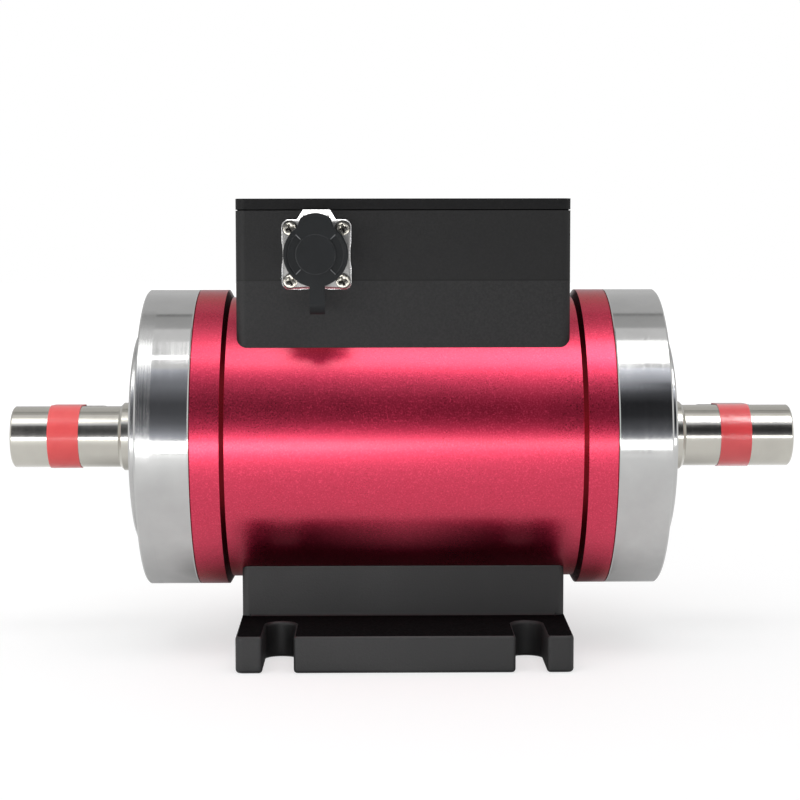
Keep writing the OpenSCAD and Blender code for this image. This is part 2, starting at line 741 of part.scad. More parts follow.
module cap_spring() color(steel_grey) on_front() {
  pitch = 2 * (spring_half - spring_wire_r) / (spring_turns - 1);
  for (i = [0 : spring_turns - 1])
    translate([-spring_half + spring_wire_r + i * pitch, hinge_rise, hinge_z]) rotate([0, 90, 0])
      rotate_extrude() translate([hinge_pin_r + spring_wire_r + run_gap, 0]) circle(spring_wire_r);
}

// Outline of the cap: a disc drawn out into a lobe over the hinge
module flip_outline() {
  circle(flip_r);
  intersection() {
    translate([0, lobe_rise]) circle(lobe_r);
    polygon([
      [-lobe_base_w / 2, 0], [lobe_base_w / 2, 0], [lobe_base_w / 2, lobe_foot],
      [lobe_top_w / 2, lobe_top], [-lobe_top_w / 2, lobe_top], [-lobe_base_w / 2, lobe_foot]
    ]);
  }
}

// Curved hollow to the right of the middle disc
module hollow_outline() intersection() {
  difference() {
    circle(flip_r - flip_rim);
    circle(flip_disc_d / 2 + disc_rim);
  }
  polygon([[0, 0], for (s = [-1, 1]) flip_d * [cos(hollow_span / 2), s * sin(hollow_span / 2)]]);
}

// Side view of the finger tab: straight down, then curving back
module tab_section() {
  bend_at = [flip_z1 - tab_bend_r, -tab_straight];
  outer = [for (i = [0 : tab_steps]) let (turn = tab_bend_turn * i / tab_steps)
    bend_at + tab_bend_r * [cos(turn), -sin(turn)]];
  inner = [for (i = [tab_steps : -1 : 0]) let (turn = tab_bend_turn * i / tab_steps)
    bend_at + (tab_bend_r - flip_t) * [cos(turn), -sin(turn)]];
  polygon(concat([[flip_z1, -skirt_r]], outer, inner, [[flip_z0, -skirt_r]]));
}

// Black flip cap with skirt, hinge knuckles and finger tab
module connector_cap() color(box_black) on_front() {
  difference() {
    union() {
      translate([0, 0, flip_z0]) linear_extrude(flip_t) flip_outline();
      translate([0, 0, flip_z1]) cylinder(d = flip_disc_d, h = flip_disc_h);
      translate([0, 0, skirt_z0]) cylinder(r = flip_r, h = flip_z0 - skirt_z0);
      translate([tab_w / 2 + tab_shift, 0, 0]) rotate([0, -90, 0]) linear_extrude(tab_w) tab_section();
      for (s = [0, 1]) mirror([s, 0, 0]) translate([spring_half + run_gap, hinge_rise, hinge_z]) {
        width = knuckle_half - spring_half - run_gap;
        rotate([0, 90, 0]) cylinder(r = knuckle_r, h = width);
        translate([0, -knuckle_r, 0]) cube([width, 2 * knuckle_r, flip_z0 - hinge_z]);
      }
    }
    translate([0, 0, skirt_z0 - overrun]) cylinder(r = skirt_r, h = flip_z0 - skirt_z0 + overrun);
    for (turn = [0, 180]) rotate([0, 0, turn]) translate([0, 0, flip_z1 - hollow_depth])
      linear_extrude(hollow_depth + overrun) hollow_outline();
    translate([-bump_top_w, hinge_rise, hinge_z]) rotate([0, 90, 0])
      cylinder(r = hinge_pin_r + run_gap, h = 2 * bump_top_w);
  }
}

module cap_seal() color(rubber_black) on_front()
  translate([0, 0, collar_z1 + seal_gap])
    cylinder(r = skirt_r - fit_gap, h = flip_z0 - collar_z1 - seal_gap);

// Rubber lip seal round the collar
module shaft_seal(side) color(rubber_black) on_axis(side) rotate_extrude() polygon([
  [seal_r - fit_gap, seal_x0], [seal_r - fit_gap, hub_x1 - edge_chamfer],
  [journal_r + lip_flare, hub_x1 - edge_chamfer], [journal_r + run_gap, lip_x1],
  [journal_r + run_gap, lip_x1 - lip_w], [journal_r + lip_flare, seal_x0 + lip_root],
  [journal_r + lip_flare, seal_x0]
]);

// Bearing ring section with a round raceway
module race_section(inner, outer) difference() {
  translate([inner, bearing_x0]) square([outer - inner, bearing_w]);
  translate([pitch_r, bearing_mid]) circle(race_r);
}

module bearing_outer(side) color(steel_grey) on_axis(side) rotate_extrude()
  race_section(outer_land_r, bearing_r);

module bearing_inner(side) color(steel_grey) on_axis(side) rotate_extrude()
  race_section(journal_r + fit_gap, inner_land_r);

module bearing_shields() color(steel_grey)
  for (side = [-1, 1], start = [bearing_x0 + shield_inset, bearing_x1 - shield_inset - shield_t])
    axis_ring(outer_land_r - fit_gap, inner_land_r + hole_gap, start, start + shield_t, side);

module bearing_circlip(side) color(steel_grey)
  axis_ring(circlip_r, circlip_inner_r, circlip_x0 + fit_gap, bearing_x0 - fit_gap, side);

module bearing_balls(side) color(bright_metal) on_axis(side)
  around(ball_count, pitch_r) translate([0, 0, bearing_mid]) sphere(ball_r);

// Solid ring cage with a pocket for each ball
module bearing_cage(side) color(brass_gold) on_axis(side) difference() {
  rotate_extrude() translate([pitch_r - cage_wall, bearing_mid - cage_half_w])
    square([2 * cage_wall, 2 * cage_half_w]);
  around(ball_count, pitch_r) translate([0, 0, bearing_mid]) rotate([0, 90, 0])
    cylinder(r = race_r, h = 4 * cage_wall, center = true);
}

// Shaft turned in one piece: neck, rotor seats, shoulders, journals and keyed ends
module torque_shaft() color(steel_grey) difference() {
  half = [
    [neck_r, neck_half], [neck_shoulder_r, seat_start], [seat_r, seat_start], [seat_r, seat_x1],
    [shoulder_r, seat_x1], [shoulder_r, bearing_x0], [journal_r, bearing_x0], [journal_r, journal_x1],
    [shaft_r, journal_x1 + journal_r - shaft_r], [shaft_r, shaft_x1 - edge_chamfer],
    [shaft_r - edge_chamfer, shaft_x1], [0, shaft_x1]
  ];
  other_half = [for (i = [len(half) - 1 : -1 : 0]) [half[i][0], -half[i][1]]];
  on_axis() rotate_extrude() polygon(concat(half, other_half));
  for (side = [-1, 1]) key_block(side, fit_gap);
}

// Round-ended key shape on the right (1) or left (-1) shaft end, grown sideways by a margin
module key_block(side, margin)
  translate([side * (key_x0 + key_x1) / 2, 0, axis_h]) rotate([-key_turn, 0, 0])
    translate([0, 0, key_seat]) linear_extrude(key_h) obround(key_len + 2 * margin, key_w + 2 * margin);

module shaft_key(side) color(steel_grey) key_block(side, 0);

// Outline of shaft and key together, as a band drawn tight round both, grown by a margin
module band_outline(margin) {
  radius = shaft_r + margin;
  corner = [key_w / 2 + margin, key_top + margin];
  touch = atan2(corner[1], corner[0]) - acos(radius / norm(corner));
  tangent = radius * [cos(touch), sin(touch)];
  circle(radius);
  polygon([[0, 0], tangent, corner, [-corner[0], corner[1]], [-tangent[0], tangent[1]]]);
}

module key_tape(middle) color(tape_red)
  along_keys(middle - tape_w / 2, tape_w) difference() {
    band_outline(fit_gap + tape_t);
    band_outline(fit_gap);
  }

module strain_gauges() color(brass_gold) intersection() {
  axis_ring(neck_r + gauge_t, neck_r, -gauge_len / 2, gauge_len / 2);
  for (i = [0 : gauge_count - 1])
    translate([0, 0, axis_h]) rotate([i * 360 / gauge_count, 0, 0])
      translate([-gauge_len, -gauge_w / 2, 0]) cube([2 * gauge_len, gauge_w, seat_r]);
}

module rotor_board() color(board_green)
  axis_ring(rotor_board_d / 2, neck_shoulder_r + fit_gap, -seat_start, -seat_start + board_t);

module rotor_components() color(rubber_black)
  on_axis() around(rotor_chip_count, (seat_r + rotor_board_d / 2) / 2)
    translate([-rotor_chip_w / 2, -rotor_chip_w / 2, -seat_start + board_t])
      cube([rotor_chip_w, rotor_chip_w, rotor_chip_h]);

module rotor_bobbin() color(former_white) on_axis(-1) rotate_extrude() polygon([
  [seat_r + fit_gap, coil_x0], [rotor_r, coil_x0], [rotor_r, coil_x0 + former_wall],
  [rotor_r - winding_depth, coil_x0 + former_wall], [rotor_r - winding_depth, coil_x1 - former_wall],
  [rotor_r, coil_x1 - former_wall], [rotor_r, coil_x1], [seat_r + fit_gap, coil_x1]
]);

module rotor_winding() color(copper)
  axis_ring(rotor_r - edge_chamfer, rotor_r - winding_depth + fit_gap,
    coil_x0 + former_wall + fit_gap, coil_x1 - former_wall - fit_gap, -1);

module stator_ring() color(former_white) on_axis(-1) rotate_extrude() polygon([
  [stator_inner_r, coil_x0], [stator_outer_r, coil_x0], [stator_outer_r, coil_x1],
  [stator_inner_r, coil_x1], [stator_inner_r, coil_x1 - former_wall],
  [stator_inner_r + winding_depth, coil_x1 - former_wall],
  [stator_inner_r + winding_depth, coil_x0 + former_wall], [stator_inner_r, coil_x0 + former_wall]
]);

module stator_winding() color(copper)
  axis_ring(stator_inner_r + winding_depth - fit_gap, stator_inner_r + edge_chamfer,
    coil_x0 + former_wall + fit_gap, coil_x1 - former_wall - fit_gap, -1);

module stator_leads() color(copper)
  translate([leads_x, 0, axis_h + bore_r]) cylinder(r = leads_r, h = board_z0 - axis_h - bore_r);

// Toothed disc that passes under the speed pickup
module speed_disc() color(steel_grey) on_axis() difference() {
  translate([0, 0, speed_disc_x]) cylinder(d = speed_disc_d, h = speed_disc_t);
  translate([0, 0, speed_disc_x - overrun]) cylinder(r = seat_r + fit_gap, h = speed_disc_t + 2 * overrun);
  for (i = [0 : speed_teeth - 1]) rotate([0, 0, i * 360 / speed_teeth])
    translate([speed_disc_d / 2 - tooth_depth, -tooth_gap_w / 2, speed_disc_x - overrun])
      cube([tooth_depth + overrun, tooth_gap_w, speed_disc_t + 2 * overrun]);
}

module speed_pickup() color(rubber_black) translate([pickup_x, 0, 0]) {
  low = axis_h + speed_disc_d / 2 + pickup_gap;
  translate([0, 0, low]) cylinder(r = pickup_r, h = box_floor_z - low);
  translate([0, 0, box_floor_z]) cylinder(r = pickup_flange_r, h = pickup_flange_t);
  translate([0, 0, box_floor_z]) cylinder(r = leads_r, h = standoff_h);
}

module main_board() color(board_green) difference() {
  translate([-board_len / 2, board_y0, board_z0]) cube([board_len, board_w, board_t]);
  translate([0, board_mid_y, 0]) at_corners(board_hole_x, board_hole_y)
    cylinder(d = m3_d + 2 * hole_gap, h = lid_z1);
}

// Chips, capacitors and a plug header on the main board
module board_components() translate([0, board_mid_y, board_z1]) {
  chip = [12, 12, 1.6];
  small_chip = [6, 5, 1.4];
  small_chip_x = 20;
  header = [14, 5, 5];
  header_inset = 1;
  capacitor_r = 3;
  capacitor_h = 7;
  capacitor_pitch = 7;
  capacitor_y = -board_w / 4;
  color(rubber_black) {
    translate([-chip[0] / 2, -chip[1] / 2, 0]) cube(chip);
    for (s = [-1, 1]) translate([s * small_chip_x - small_chip[0] / 2, 0, 0]) cube(small_chip);
  }
  color(former_white) translate([-header[0], -board_w / 2 + header_inset, 0]) cube(header);
  color(steel_grey) for (i = [1, 2])
    translate([i * capacitor_pitch, capacitor_y, 0]) cylinder(r = capacitor_r, h = capacitor_h);
}

module board_standoffs() color(brass_gold) translate([0, board_mid_y, box_floor_z])
  at_corners(board_hole_x, board_hole_y) difference() {
    cylinder(r = standoff_r, h = standoff_h, $fn = 6);
    cylinder(d = m3_d + fit_gap, h = standoff_h + overrun);
  }

module board_screws() color(steel_grey) translate([0, board_mid_y, board_z1])
  at_corners(board_hole_x, board_hole_y)
    pan_screw(m3_d, 1.8 * m3_d, 0.6 * m3_d, standoff_h);

housing_tube();
end_cap(-1);  // end_cap_left
end_cap(1);  // end_cap_right
end_cap_screws(-1);  // end_cap_screws_left
end_cap_screws(1);  // end_cap_screws_right
base_foot();
base_screws();
electronics_box();
box_screws();
lid_gasket();
box_lid();
lid_screws();
connector_gasket();
connector_shell();
connector_screws();
connector_insert();
connector_contacts();
cap_hinge_pin();
cap_spring();
shaft_seal(-1);  // shaft_seal_left
shaft_seal(1);  // shaft_seal_right
bearing_outer(-1);  // bearing_outer_left
bearing_outer(1);  // bearing_outer_right
bearing_shields();
bearing_circlip(-1);  // bearing_circlip_left
bearing_circlip(1);  // bearing_circlip_right
stator_ring();
stator_winding();
stator_leads();
speed_pickup();
main_board();
board_components();
board_standoffs();
board_screws();
torque_shaft();
shaft_key(-1);  // shaft_key_left
shaft_key(1);  // shaft_key_right
key_tape(tape_setback_left - shaft_x1);  // key_tape_left
key_tape(shaft_x1 - tape_setback_right);  // key_tape_right
bearing_inner(-1);  // bearing_inner_left
bearing_inner(1);  // bearing_inner_right
strain_gauges();
rotor_board();
rotor_components();
rotor_bobbin();
rotor_winding();
speed_disc();
bearing_cage(-1);  // bearing_cage_left
bearing_cage(1);  // bearing_cage_right
bearing_balls(-1);  // bearing_balls_left
bearing_balls(1);  // bearing_balls_right
connector_cap();
cap_seal();
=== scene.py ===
import json
import math

import bmesh
import bpy
from mathutils import Matrix, Vector


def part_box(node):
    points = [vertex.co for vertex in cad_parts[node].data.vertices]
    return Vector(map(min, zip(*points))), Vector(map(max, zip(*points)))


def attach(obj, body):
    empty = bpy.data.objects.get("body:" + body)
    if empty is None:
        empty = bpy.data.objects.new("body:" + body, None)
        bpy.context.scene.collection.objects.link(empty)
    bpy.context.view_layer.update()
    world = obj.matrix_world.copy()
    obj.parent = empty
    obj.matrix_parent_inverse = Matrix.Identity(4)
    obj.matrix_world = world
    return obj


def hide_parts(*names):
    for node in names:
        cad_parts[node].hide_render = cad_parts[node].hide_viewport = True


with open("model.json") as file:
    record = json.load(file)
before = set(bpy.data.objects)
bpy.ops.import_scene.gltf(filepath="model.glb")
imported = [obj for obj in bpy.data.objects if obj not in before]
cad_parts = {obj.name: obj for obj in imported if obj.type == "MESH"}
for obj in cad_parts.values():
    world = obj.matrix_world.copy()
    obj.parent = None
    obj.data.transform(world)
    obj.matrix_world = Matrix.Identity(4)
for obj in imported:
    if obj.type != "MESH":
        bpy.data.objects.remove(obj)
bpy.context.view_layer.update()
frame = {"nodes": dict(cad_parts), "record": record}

MM = 0.001
scene = bpy.context.scene

# Places taken from the frame
shaft_low, shaft_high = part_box("torque_shaft")
tube_low, tube_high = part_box("housing_tube")
shell_low, shell_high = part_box("connector_shell")
axis_z = shaft_low.z / 2 + shaft_high.z / 2
box_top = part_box("electronics_box")[1].z
left_cap_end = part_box("end_cap_left")[0].x
screw_head_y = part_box("connector_screws")[0].y
foot_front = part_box("base_foot")[0].y
flange_width = shell_high.x - shell_low.x
cap_middle_x = (shell_low.x + shell_high.x) / 2
cap_middle_z = shell_low.z + flange_width / 2


# Node helpers

# Colour sockets of a mix node, which gives its other kinds of value the same names
MIX_FIRST = 6
MIX_SECOND = 7
MIX_RESULT = 2

# Part of a noise's range that holds nearly all of its values
NOISE_LOW = 0.3
NOISE_HIGH = 0.7

# Place of a new stop in a colour ramp until it is set
RAMP_MIDDLE = 0.5


def add_node(tree, kind, **inputs):
    """A new node, with its named inputs set. An underscore in an input's name stands for a space."""
    node = tree.nodes.new(kind)
    for key, value in inputs.items():
        node.inputs[key.replace("_", " ")].default_value = value
    return node


def join(tree, shader, **sockets):
    """Links sockets to a shader's named inputs. An underscore in an input's name stands for a space."""
    for key, socket in sockets.items():
        tree.links.new(socket, shader.inputs[key.replace("_", " ")])


def math_node(tree, operation, first, second=None):
    """The result of an operation on one or two sockets or numbers."""
    node = tree.nodes.new("ShaderNodeMath")
    node.operation = operation
    for socket, value in zip(node.inputs, (first, second)):
        if isinstance(value, bpy.types.NodeSocket):
            tree.links.new(value, socket)
        elif value is not None:
            socket.default_value = value
    return node.outputs[0]


def chain(tree, operation, values):
    """The result of one operation on several sockets or numbers in turn."""
    result = values[0]
    for value in values[1:]:
        result = math_node(tree, operation, result, value)
    return result


def plus(tree, *terms):
    """The sum of sockets and numbers."""
    return chain(tree, "ADD", terms)


def times(tree, *factors):
    """The product of sockets and numbers."""
    return chain(tree, "MULTIPLY", factors)


def largest(tree, *values):
    """The largest of sockets and numbers."""
    return chain(tree, "MAXIMUM", values)


def minus(tree, first, second):
    """The first socket or number less the second."""
    return math_node(tree, "SUBTRACT", first, second)


def apart(tree, first, second):
    """The distance between two sockets or numbers."""
    return math_node(tree, "ABSOLUTE", minus(tree, first, second))


def diagonal(tree, first, second):
    """The length of the diagonal over two sides."""
    squares = plus(tree, times(tree, first, first), times(tree, second, second))
    return math_node(tree, "SQRT", squares)


def ramp_node(tree, factor, stops):
    """A colour ramp on a factor. Each stop is a place and a grey level or a colour."""
    node = tree.nodes.new("ShaderNodeValToRGB")
    elements = node.color_ramp.elements
    while len(elements) < len(stops):
        elements.new(RAMP_MIDDLE)
    for element, (place, colour) in zip(elements, stops):
        element.position = place
        element.color = (*colour, 1) if isinstance(colour, tuple) else (colour, colour, colour, 1)
    tree.links.new(factor, node.inputs["Fac"])
    return node.outputs["Color"]


def range_node(tree, value, low, high, to_low, to_high):
    """The value moved from one range to another, held inside it."""
    node = add_node(tree, "ShaderNodeMapRange", From_Min=low, From_Max=high, To_Min=to_low, To_Max=to_high)
    tree.links.new(value, node.inputs["Value"])
    return node.outputs["Result"]


def rise(tree, value, start, end):
    """0 up to the start, 1 from the end on, and a straight line between them."""
    return range_node(tree, value, start, end, 0.0, 1.0)


def fall(tree, value, start, end):
    """1 up to the start, 0 from the end on, and a straight line between them."""
    return range_node(tree, value, start, end, 1.0, 0.0)


def spread(tree, noise_value, to_low=0.0, to_high=1.0):
    """A noise stretched over another range."""
    return range_node(tree, noise_value, NOISE_LOW, NOISE_HIGH, to_low, to_high)


def uneven(tree, noise_value, rough, less, more):
    """A roughness that a noise takes a little below and above its level."""
    return spread(tree, noise_value, rough - less, rough + more)


def object_place(tree, stretch=(1, 1, 1)):
    """Object coordinates, stretched by a factor along each axis."""
    coordinates = tree.nodes.new("ShaderNodeTexCoord")
    mapping = tree.nodes.new("ShaderNodeMapping")
    mapping.inputs["Scale"].default_value = stretch
    tree.links.new(coordinates.outputs["Object"], mapping.inputs["Vector"])
    return mapping.outputs["Vector"]


def split_place(tree):
    """Object coordinates as three sockets, X, Y and Z."""
    split = tree.nodes.new("ShaderNodeSeparateXYZ")
    tree.links.new(object_place(tree), split.inputs["Vector"])
    return split.outputs["X"], split.outputs["Y"], split.outputs["Z"]


def axial_and_radial(tree):
    """The place along the shaft and the distance from its axis, as two sockets."""
    along, across, height = split_place(tree)
    return along, diagonal(tree, across, minus(tree, height, axis_z))


def noise_node(tree, vector, spots, detail=2.0, roughness=0.5, dimensions="3D"):
    """Noise from 0 to 1 at a number of spots per metre."""
    node = add_node(tree, "ShaderNodeTexNoise", Scale=spots, Detail=detail, Roughness=roughness)
    node.noise_dimensions = dimensions
    tree.links.new(vector, node.inputs["W" if dimensions == "1D" else "Vector"])
    return node.outputs["Fac"]


def mix_colours(tree, factor, first, second):
    """A blend of two colours, each a socket or a colour."""
    node = tree.nodes.new("ShaderNodeMix")
    node.data_type = "RGBA"
    tree.links.new(factor, node.inputs["Factor"])
    for socket, colour in ((node.inputs[MIX_FIRST], first), (node.inputs[MIX_SECOND], second)):
        if isinstance(colour, bpy.types.NodeSocket):
            tree.links.new(colour, socket)
        else:
            socket.default_value = (*colour, 1)
    return node.outputs[MIX_RESULT]


def shaded(colour, factor):
    """A colour made darker or paler by a factor."""
    return tuple(min(1.0, part * factor) for part in colour)


def bump_node(tree, height, strength, depth, below=None):
    """A bump from a height, on top of another bump if one is given."""
    node = add_node(tree, "ShaderNodeBump", Strength=strength, Distance=depth)
    tree.links.new(height, node.inputs["Height"])
    if below is not None:
        tree.links.new(below, node.inputs["Normal"])
    return node.outputs["Normal"]


def new_material(name, **inputs):
    """A material with one shader, its constant inputs set. Returns the material, its tree and the shader."""
    material = bpy.data.materials.new(name)
    material.use_nodes = True
    tree = material.node_tree
    shader = tree.nodes["Principled BSDF"]
    for key, value in inputs.items():
        shader.inputs[key.replace("_", " ")].default_value = value
    return material, tree, shader


# Red anodising of the tube

RED = (0.59, 0.029, 0.082)
RED_DEEP = (0.50, 0.018, 0.058)
RED_SPARKLE = (0.69, 0.044, 0.104)
RED_RIM = (0.50, 0.20, 0.25)
RED_CLOUDING = 0.015
SPARKLE_RANGE = (0.56, 0.70)
SPARKLE_BLUR = 0.05
# Painted shade for the shoulders between the rings and the tube
SHOULDER_PAINTED_SHADE = (0.16, 0.006, 0.018)
SHOULDER_FADE = 0.1 * MM
RING_WIDTH = 8.3 * MM
RING_SLOPE = 1.2 * MM
shoulder_top = tube_high.x - RING_WIDTH
shoulder_foot = shoulder_top - RING_SLOPE


def anodised_material(name, rough):
    """Dyed satin metal under a clear oxide skin: a blasted grain that sparkles, and painted shade on the
    shoulders.
    """
    material, tree, shader = new_material(
        name, Metallic=1.0, Coat_Weight=0.7, Coat_Roughness=0.2, Specular_Tint=(*RED_RIM, 1))
    place = object_place(tree)
    grain = noise_node(tree, place, spots=2300, detail=2.0, roughness=0.6)
    cloud = noise_node(tree, place, spots=60, detail=3.0)
    sparkle = rise(tree, grain, *SPARKLE_RANGE)
    skin = mix_colours(tree, spread(tree, grain), RED_DEEP, RED)
    skin = mix_colours(tree, sparkle, skin, RED_SPARKLE)
    along, _, _ = split_place(tree)
    from_middle = math_node(tree, "ABSOLUTE", along)
    past_foot = rise(tree, from_middle, shoulder_foot, shoulder_foot + SHOULDER_FADE)
    before_top = fall(tree, from_middle, shoulder_top - SHOULDER_FADE, shoulder_top)
    # The shoulders between ring and tube are painted dark, as shade.
    skin = mix_colours(tree, times(tree, past_foot, before_top), skin, SHOULDER_PAINTED_SHADE)
    blur = plus(tree, uneven(tree, grain, rough, less=0.01, more=0.05),
                spread(tree, cloud, -RED_CLOUDING, RED_CLOUDING), times(tree, sparkle, SPARKLE_BLUR))
    normal = bump_node(tree, grain, strength=0.20, depth=0.10 * MM)
    join(tree, shader, Base_Color=skin, Roughness=blur, Normal=normal)
    return material


# Turned metal of the end caps and the shaft

CAP_METAL = (0.475, 0.475, 0.47)
SHAFT_METAL = (0.50, 0.485, 0.44)
TURNED_DULL = 0.94
TURNED_PALE = 1.06
BROAD_BLUR = 0.02
BAND_WIDTH = 7.5 * MM
BAND_BLUR = 0.09
EDGE_BREAK = 0.35 * MM
EDGE_STEEPNESS = 0.5
SCRATCH_ALONG = 0.85
SCRATCH_UPRIGHT = 0.53
SCRATCH_LINES = (0.58, 0.68)
SCRATCH_PATCHES = (0.48, 0.60)
turning_band = (left_cap_end, left_cap_end + BAND_WIDTH)


def turned_material(name, colour, rough, line_strength, band=None, band_strength=0.0, edge=None,
                    scratches=0.0):
    """Lathe-turned bright metal: fine lines round the shaft's axis, and a coarser band between two places.

    An edge, from one place to another, gets the bump of a small bevel, and scratches run at a slant."""
    material, tree, shader = new_material(name, Metallic=1.0, Anisotropic=0.45, Anisotropic_Rotation=0.25)
    place = object_place(tree)
    along, radius = axial_and_radial(tree)
    travel = plus(tree, along, radius)
    fine = noise_node(tree, travel, spots=9000, detail=3.0, dimensions="1D")
    broad = noise_node(tree, travel, spots=900, detail=2.0, dimensions="1D")
    cloud = noise_node(tree, place, spots=70, detail=4.0, roughness=0.6)
    skin = mix_colours(tree, spread(tree, cloud), shaded(colour, TURNED_DULL), shaded(colour, TURNED_PALE))
    blur = plus(tree, uneven(tree, cloud, rough, less=0.02, more=0.03),
                spread(tree, broad, -BROAD_BLUR, BROAD_BLUR))
    normal = bump_node(tree, fine, strength=line_strength, depth=0.03 * MM)
    if band is not None:
        inside = times(tree, math_node(tree, "GREATER_THAN", along, band[0]),
                       math_node(tree, "LESS_THAN", along, band[1]))
        ridges = noise_node(tree, travel, spots=2600, detail=3.0, roughness=0.7, dimensions="1D")
        steps = times(tree, ridges, inside)
        normal = bump_node(tree, steps, strength=band_strength, depth=0.25 * MM, below=normal)
        blur = plus(tree, blur, times(tree, inside, BAND_BLUR))
    speckle = noise_node(tree, place, spots=2400, detail=2.0, roughness=0.6)
    normal = bump_node(tree, speckle, strength=0.05, depth=0.05 * MM, below=normal)
    if edge is not None:
        slope = rise(tree, along, *edge)
        normal = bump_node(tree, slope, strength=1.0, depth=EDGE_BREAK * EDGE_STEEPNESS, below=normal)
    if scratches:
        x, _, z = split_place(tree)
        slant = minus(tree, times(tree, x, SCRATCH_ALONG), times(tree, z, SCRATCH_UPRIGHT))
        lines = noise_node(tree, slant, spots=1500, detail=1.0, dimensions="1D")
        patches = noise_node(tree, place, spots=110, detail=2.0)
        marks = times(tree, rise(tree, lines, *SCRATCH_LINES), rise(tree, patches, *SCRATCH_PATCHES))
        blur = plus(tree, blur, times(tree, marks, scratches))
    tangent = tree.nodes.new("ShaderNodeTangent")
    tangent.direction_type = "RADIAL"
    tangent.axis = "X"
    join(tree, shader, Base_Color=skin, Roughness=blur, Normal=normal, Tangent=tangent.outputs["Tangent"])
    return material


# Plain metals

SCREW_STEEL = (0.62, 0.60, 0.55)
NICKEL = (0.50, 0.495, 0.485)
CONTACT_GOLD = (0.85, 0.62, 0.25)
BEARING_STEEL = (0.60, 0.60, 0.61)
CAGE_BRASS = (0.68, 0.50, 0.22)
COPPER = (0.72, 0.36, 0.18)
STANDOFF_BRASS = (0.70, 0.53, 0.25)
KEY_STEEL = (0.50, 0.49, 0.46)
GAUGE_FOIL = (0.66, 0.46, 0.20)
GROUND_DULL = 0.86
WIRE_STRETCH = (1.0, 0.05, 0.05)


def ground_metal(name, colour, rough, spots=900, stretch=(1, 1, 1), bump=0.15):
    """Plain bright metal with fine marks, streaked where the stretch is uneven, and uneven gloss."""
    material, tree, shader = new_material(name, Metallic=1.0)
    marks = noise_node(tree, object_place(tree, stretch), spots, detail=4.0, roughness=0.6)
    skin = mix_colours(tree, spread(tree, marks), shaded(colour, GROUND_DULL), colour)
    blur = uneven(tree, marks, rough, less=0.05, more=0.08)
    normal = bump_node(tree, marks, strength=bump, depth=0.05 * MM)
    join(tree, shader, Base_Color=skin, Roughness=blur, Normal=normal)
    return material


# Cross-head screws of the connector

HEAD_STEEL = (0.42, 0.40, 0.35)
HEAD_DULL = 0.8
# Painted shade in the heads' recesses and down their sides
RECESS_PAINTED_SHADE = 0.12
RECESS_START = 0.2 * MM
RECESS_END = 0.5 * MM


def screw_material(name, rough):
    """Bright screw heads that face the front, with painted shade in their recesses and down their sides."""
    material, tree, shader = new_material(name, Metallic=1.0)
    _, inward, _ = split_place(tree)
    depth = rise(tree, inward, screw_head_y + RECESS_START, screw_head_y + RECESS_END)
    marks = noise_node(tree, object_place(tree), spots=1500, detail=3.0)
    face = mix_colours(tree, spread(tree, marks), shaded(HEAD_STEEL, HEAD_DULL), HEAD_STEEL)
    # Painted shade: the heads go darker the deeper they lie, in their recesses and down their sides.
    skin = mix_colours(tree, depth, face, shaded(HEAD_STEEL, RECESS_PAINTED_SHADE))
    blur = uneven(tree, marks, rough, less=0.04, more=0.06)
    normal = bump_node(tree, marks, strength=0.2, depth=0.08 * MM)
    join(tree, shader, Base_Color=skin, Roughness=blur, Normal=normal)
    return material


# Connector flange

FLANGE_GREY = (0.30, 0.295, 0.288)
# Painted highlight on the rim and the block
FLANGE_PAINTED_HIGHLIGHT = (0.93, 0.925, 0.915)
FLANGE_DULL = 0.84
FLANGE_RIM = 0.55 * MM
FLANGE_CORNER = 2.0 * MM
FLANGE_WAIST = 0.3 * MM
BLOCK_FADE = 0.1 * MM
BLOCK_LEAN = 0.62
RIM_POLISH = 0.10


def flange_material(name, rough):
    """A blasted flange whose rounded rim, and the block that leans back above its square, are painted bright
    as highlights and polished.

    The rim's rounding and the block's lean are bump."""
    material, tree, shader = new_material(name, Metallic=1.0)
    x, _, z = split_place(tree)
    across = apart(tree, x, cap_middle_x)
    raised = minus(tree, z, cap_middle_z)
    upright = math_node(tree, "ABSOLUTE", raised)
    inner_half = flange_width / 2 - FLANGE_CORNER
    past_across = largest(tree, minus(tree, across, inner_half), 0.0)
    past_upright = largest(tree, minus(tree, upright, inner_half), 0.0)
    past_corner = diagonal(tree, past_across, past_upright)
    nearer = math_node(tree, "MINIMUM", across, upright)
    waist = range_node(tree, nearer, 0.0, inner_half, FLANGE_WAIST, 0.0)
    to_rim = minus(tree, minus(tree, FLANGE_CORNER, past_corner), waist)
    on_rim = fall(tree, to_rim, 0.0, FLANGE_RIM)
    square_top = flange_width / 2 - FLANGE_WAIST
    block_top = shell_high.z - cap_middle_z
    lean = (block_top - square_top) * BLOCK_LEAN
    on_block = rise(tree, raised, square_top - BLOCK_FADE, square_top + BLOCK_FADE)
    # The rim and the block are painted bright, as highlights, and also made less rough.
    bright = largest(tree, on_rim, on_block)
    marks = noise_node(tree, object_place(tree), spots=2600, detail=4.0, roughness=0.6)
    face = mix_colours(tree, spread(tree, marks), shaded(FLANGE_GREY, FLANGE_DULL), FLANGE_GREY)
    skin = mix_colours(tree, bright, face, FLANGE_PAINTED_HIGHLIGHT)
    blur = minus(tree, uneven(tree, marks, rough, less=0.03, more=0.08), times(tree, bright, RIM_POLISH))
    rounding = times(tree, minus(tree, 1.0, on_rim), minus(tree, 1.0, on_block))
    leaning = fall(tree, raised, square_top, block_top)
    normal = bump_node(tree, marks, strength=0.10, depth=0.05 * MM)
    normal = bump_node(tree, rounding, strength=1.0, depth=FLANGE_RIM, below=normal)
    normal = bump_node(tree, leaning, strength=1.0, depth=lean, below=normal)
    join(tree, shader, Base_Color=skin, Roughness=blur, Normal=normal)
    return material


# Moulded plastic and rubber

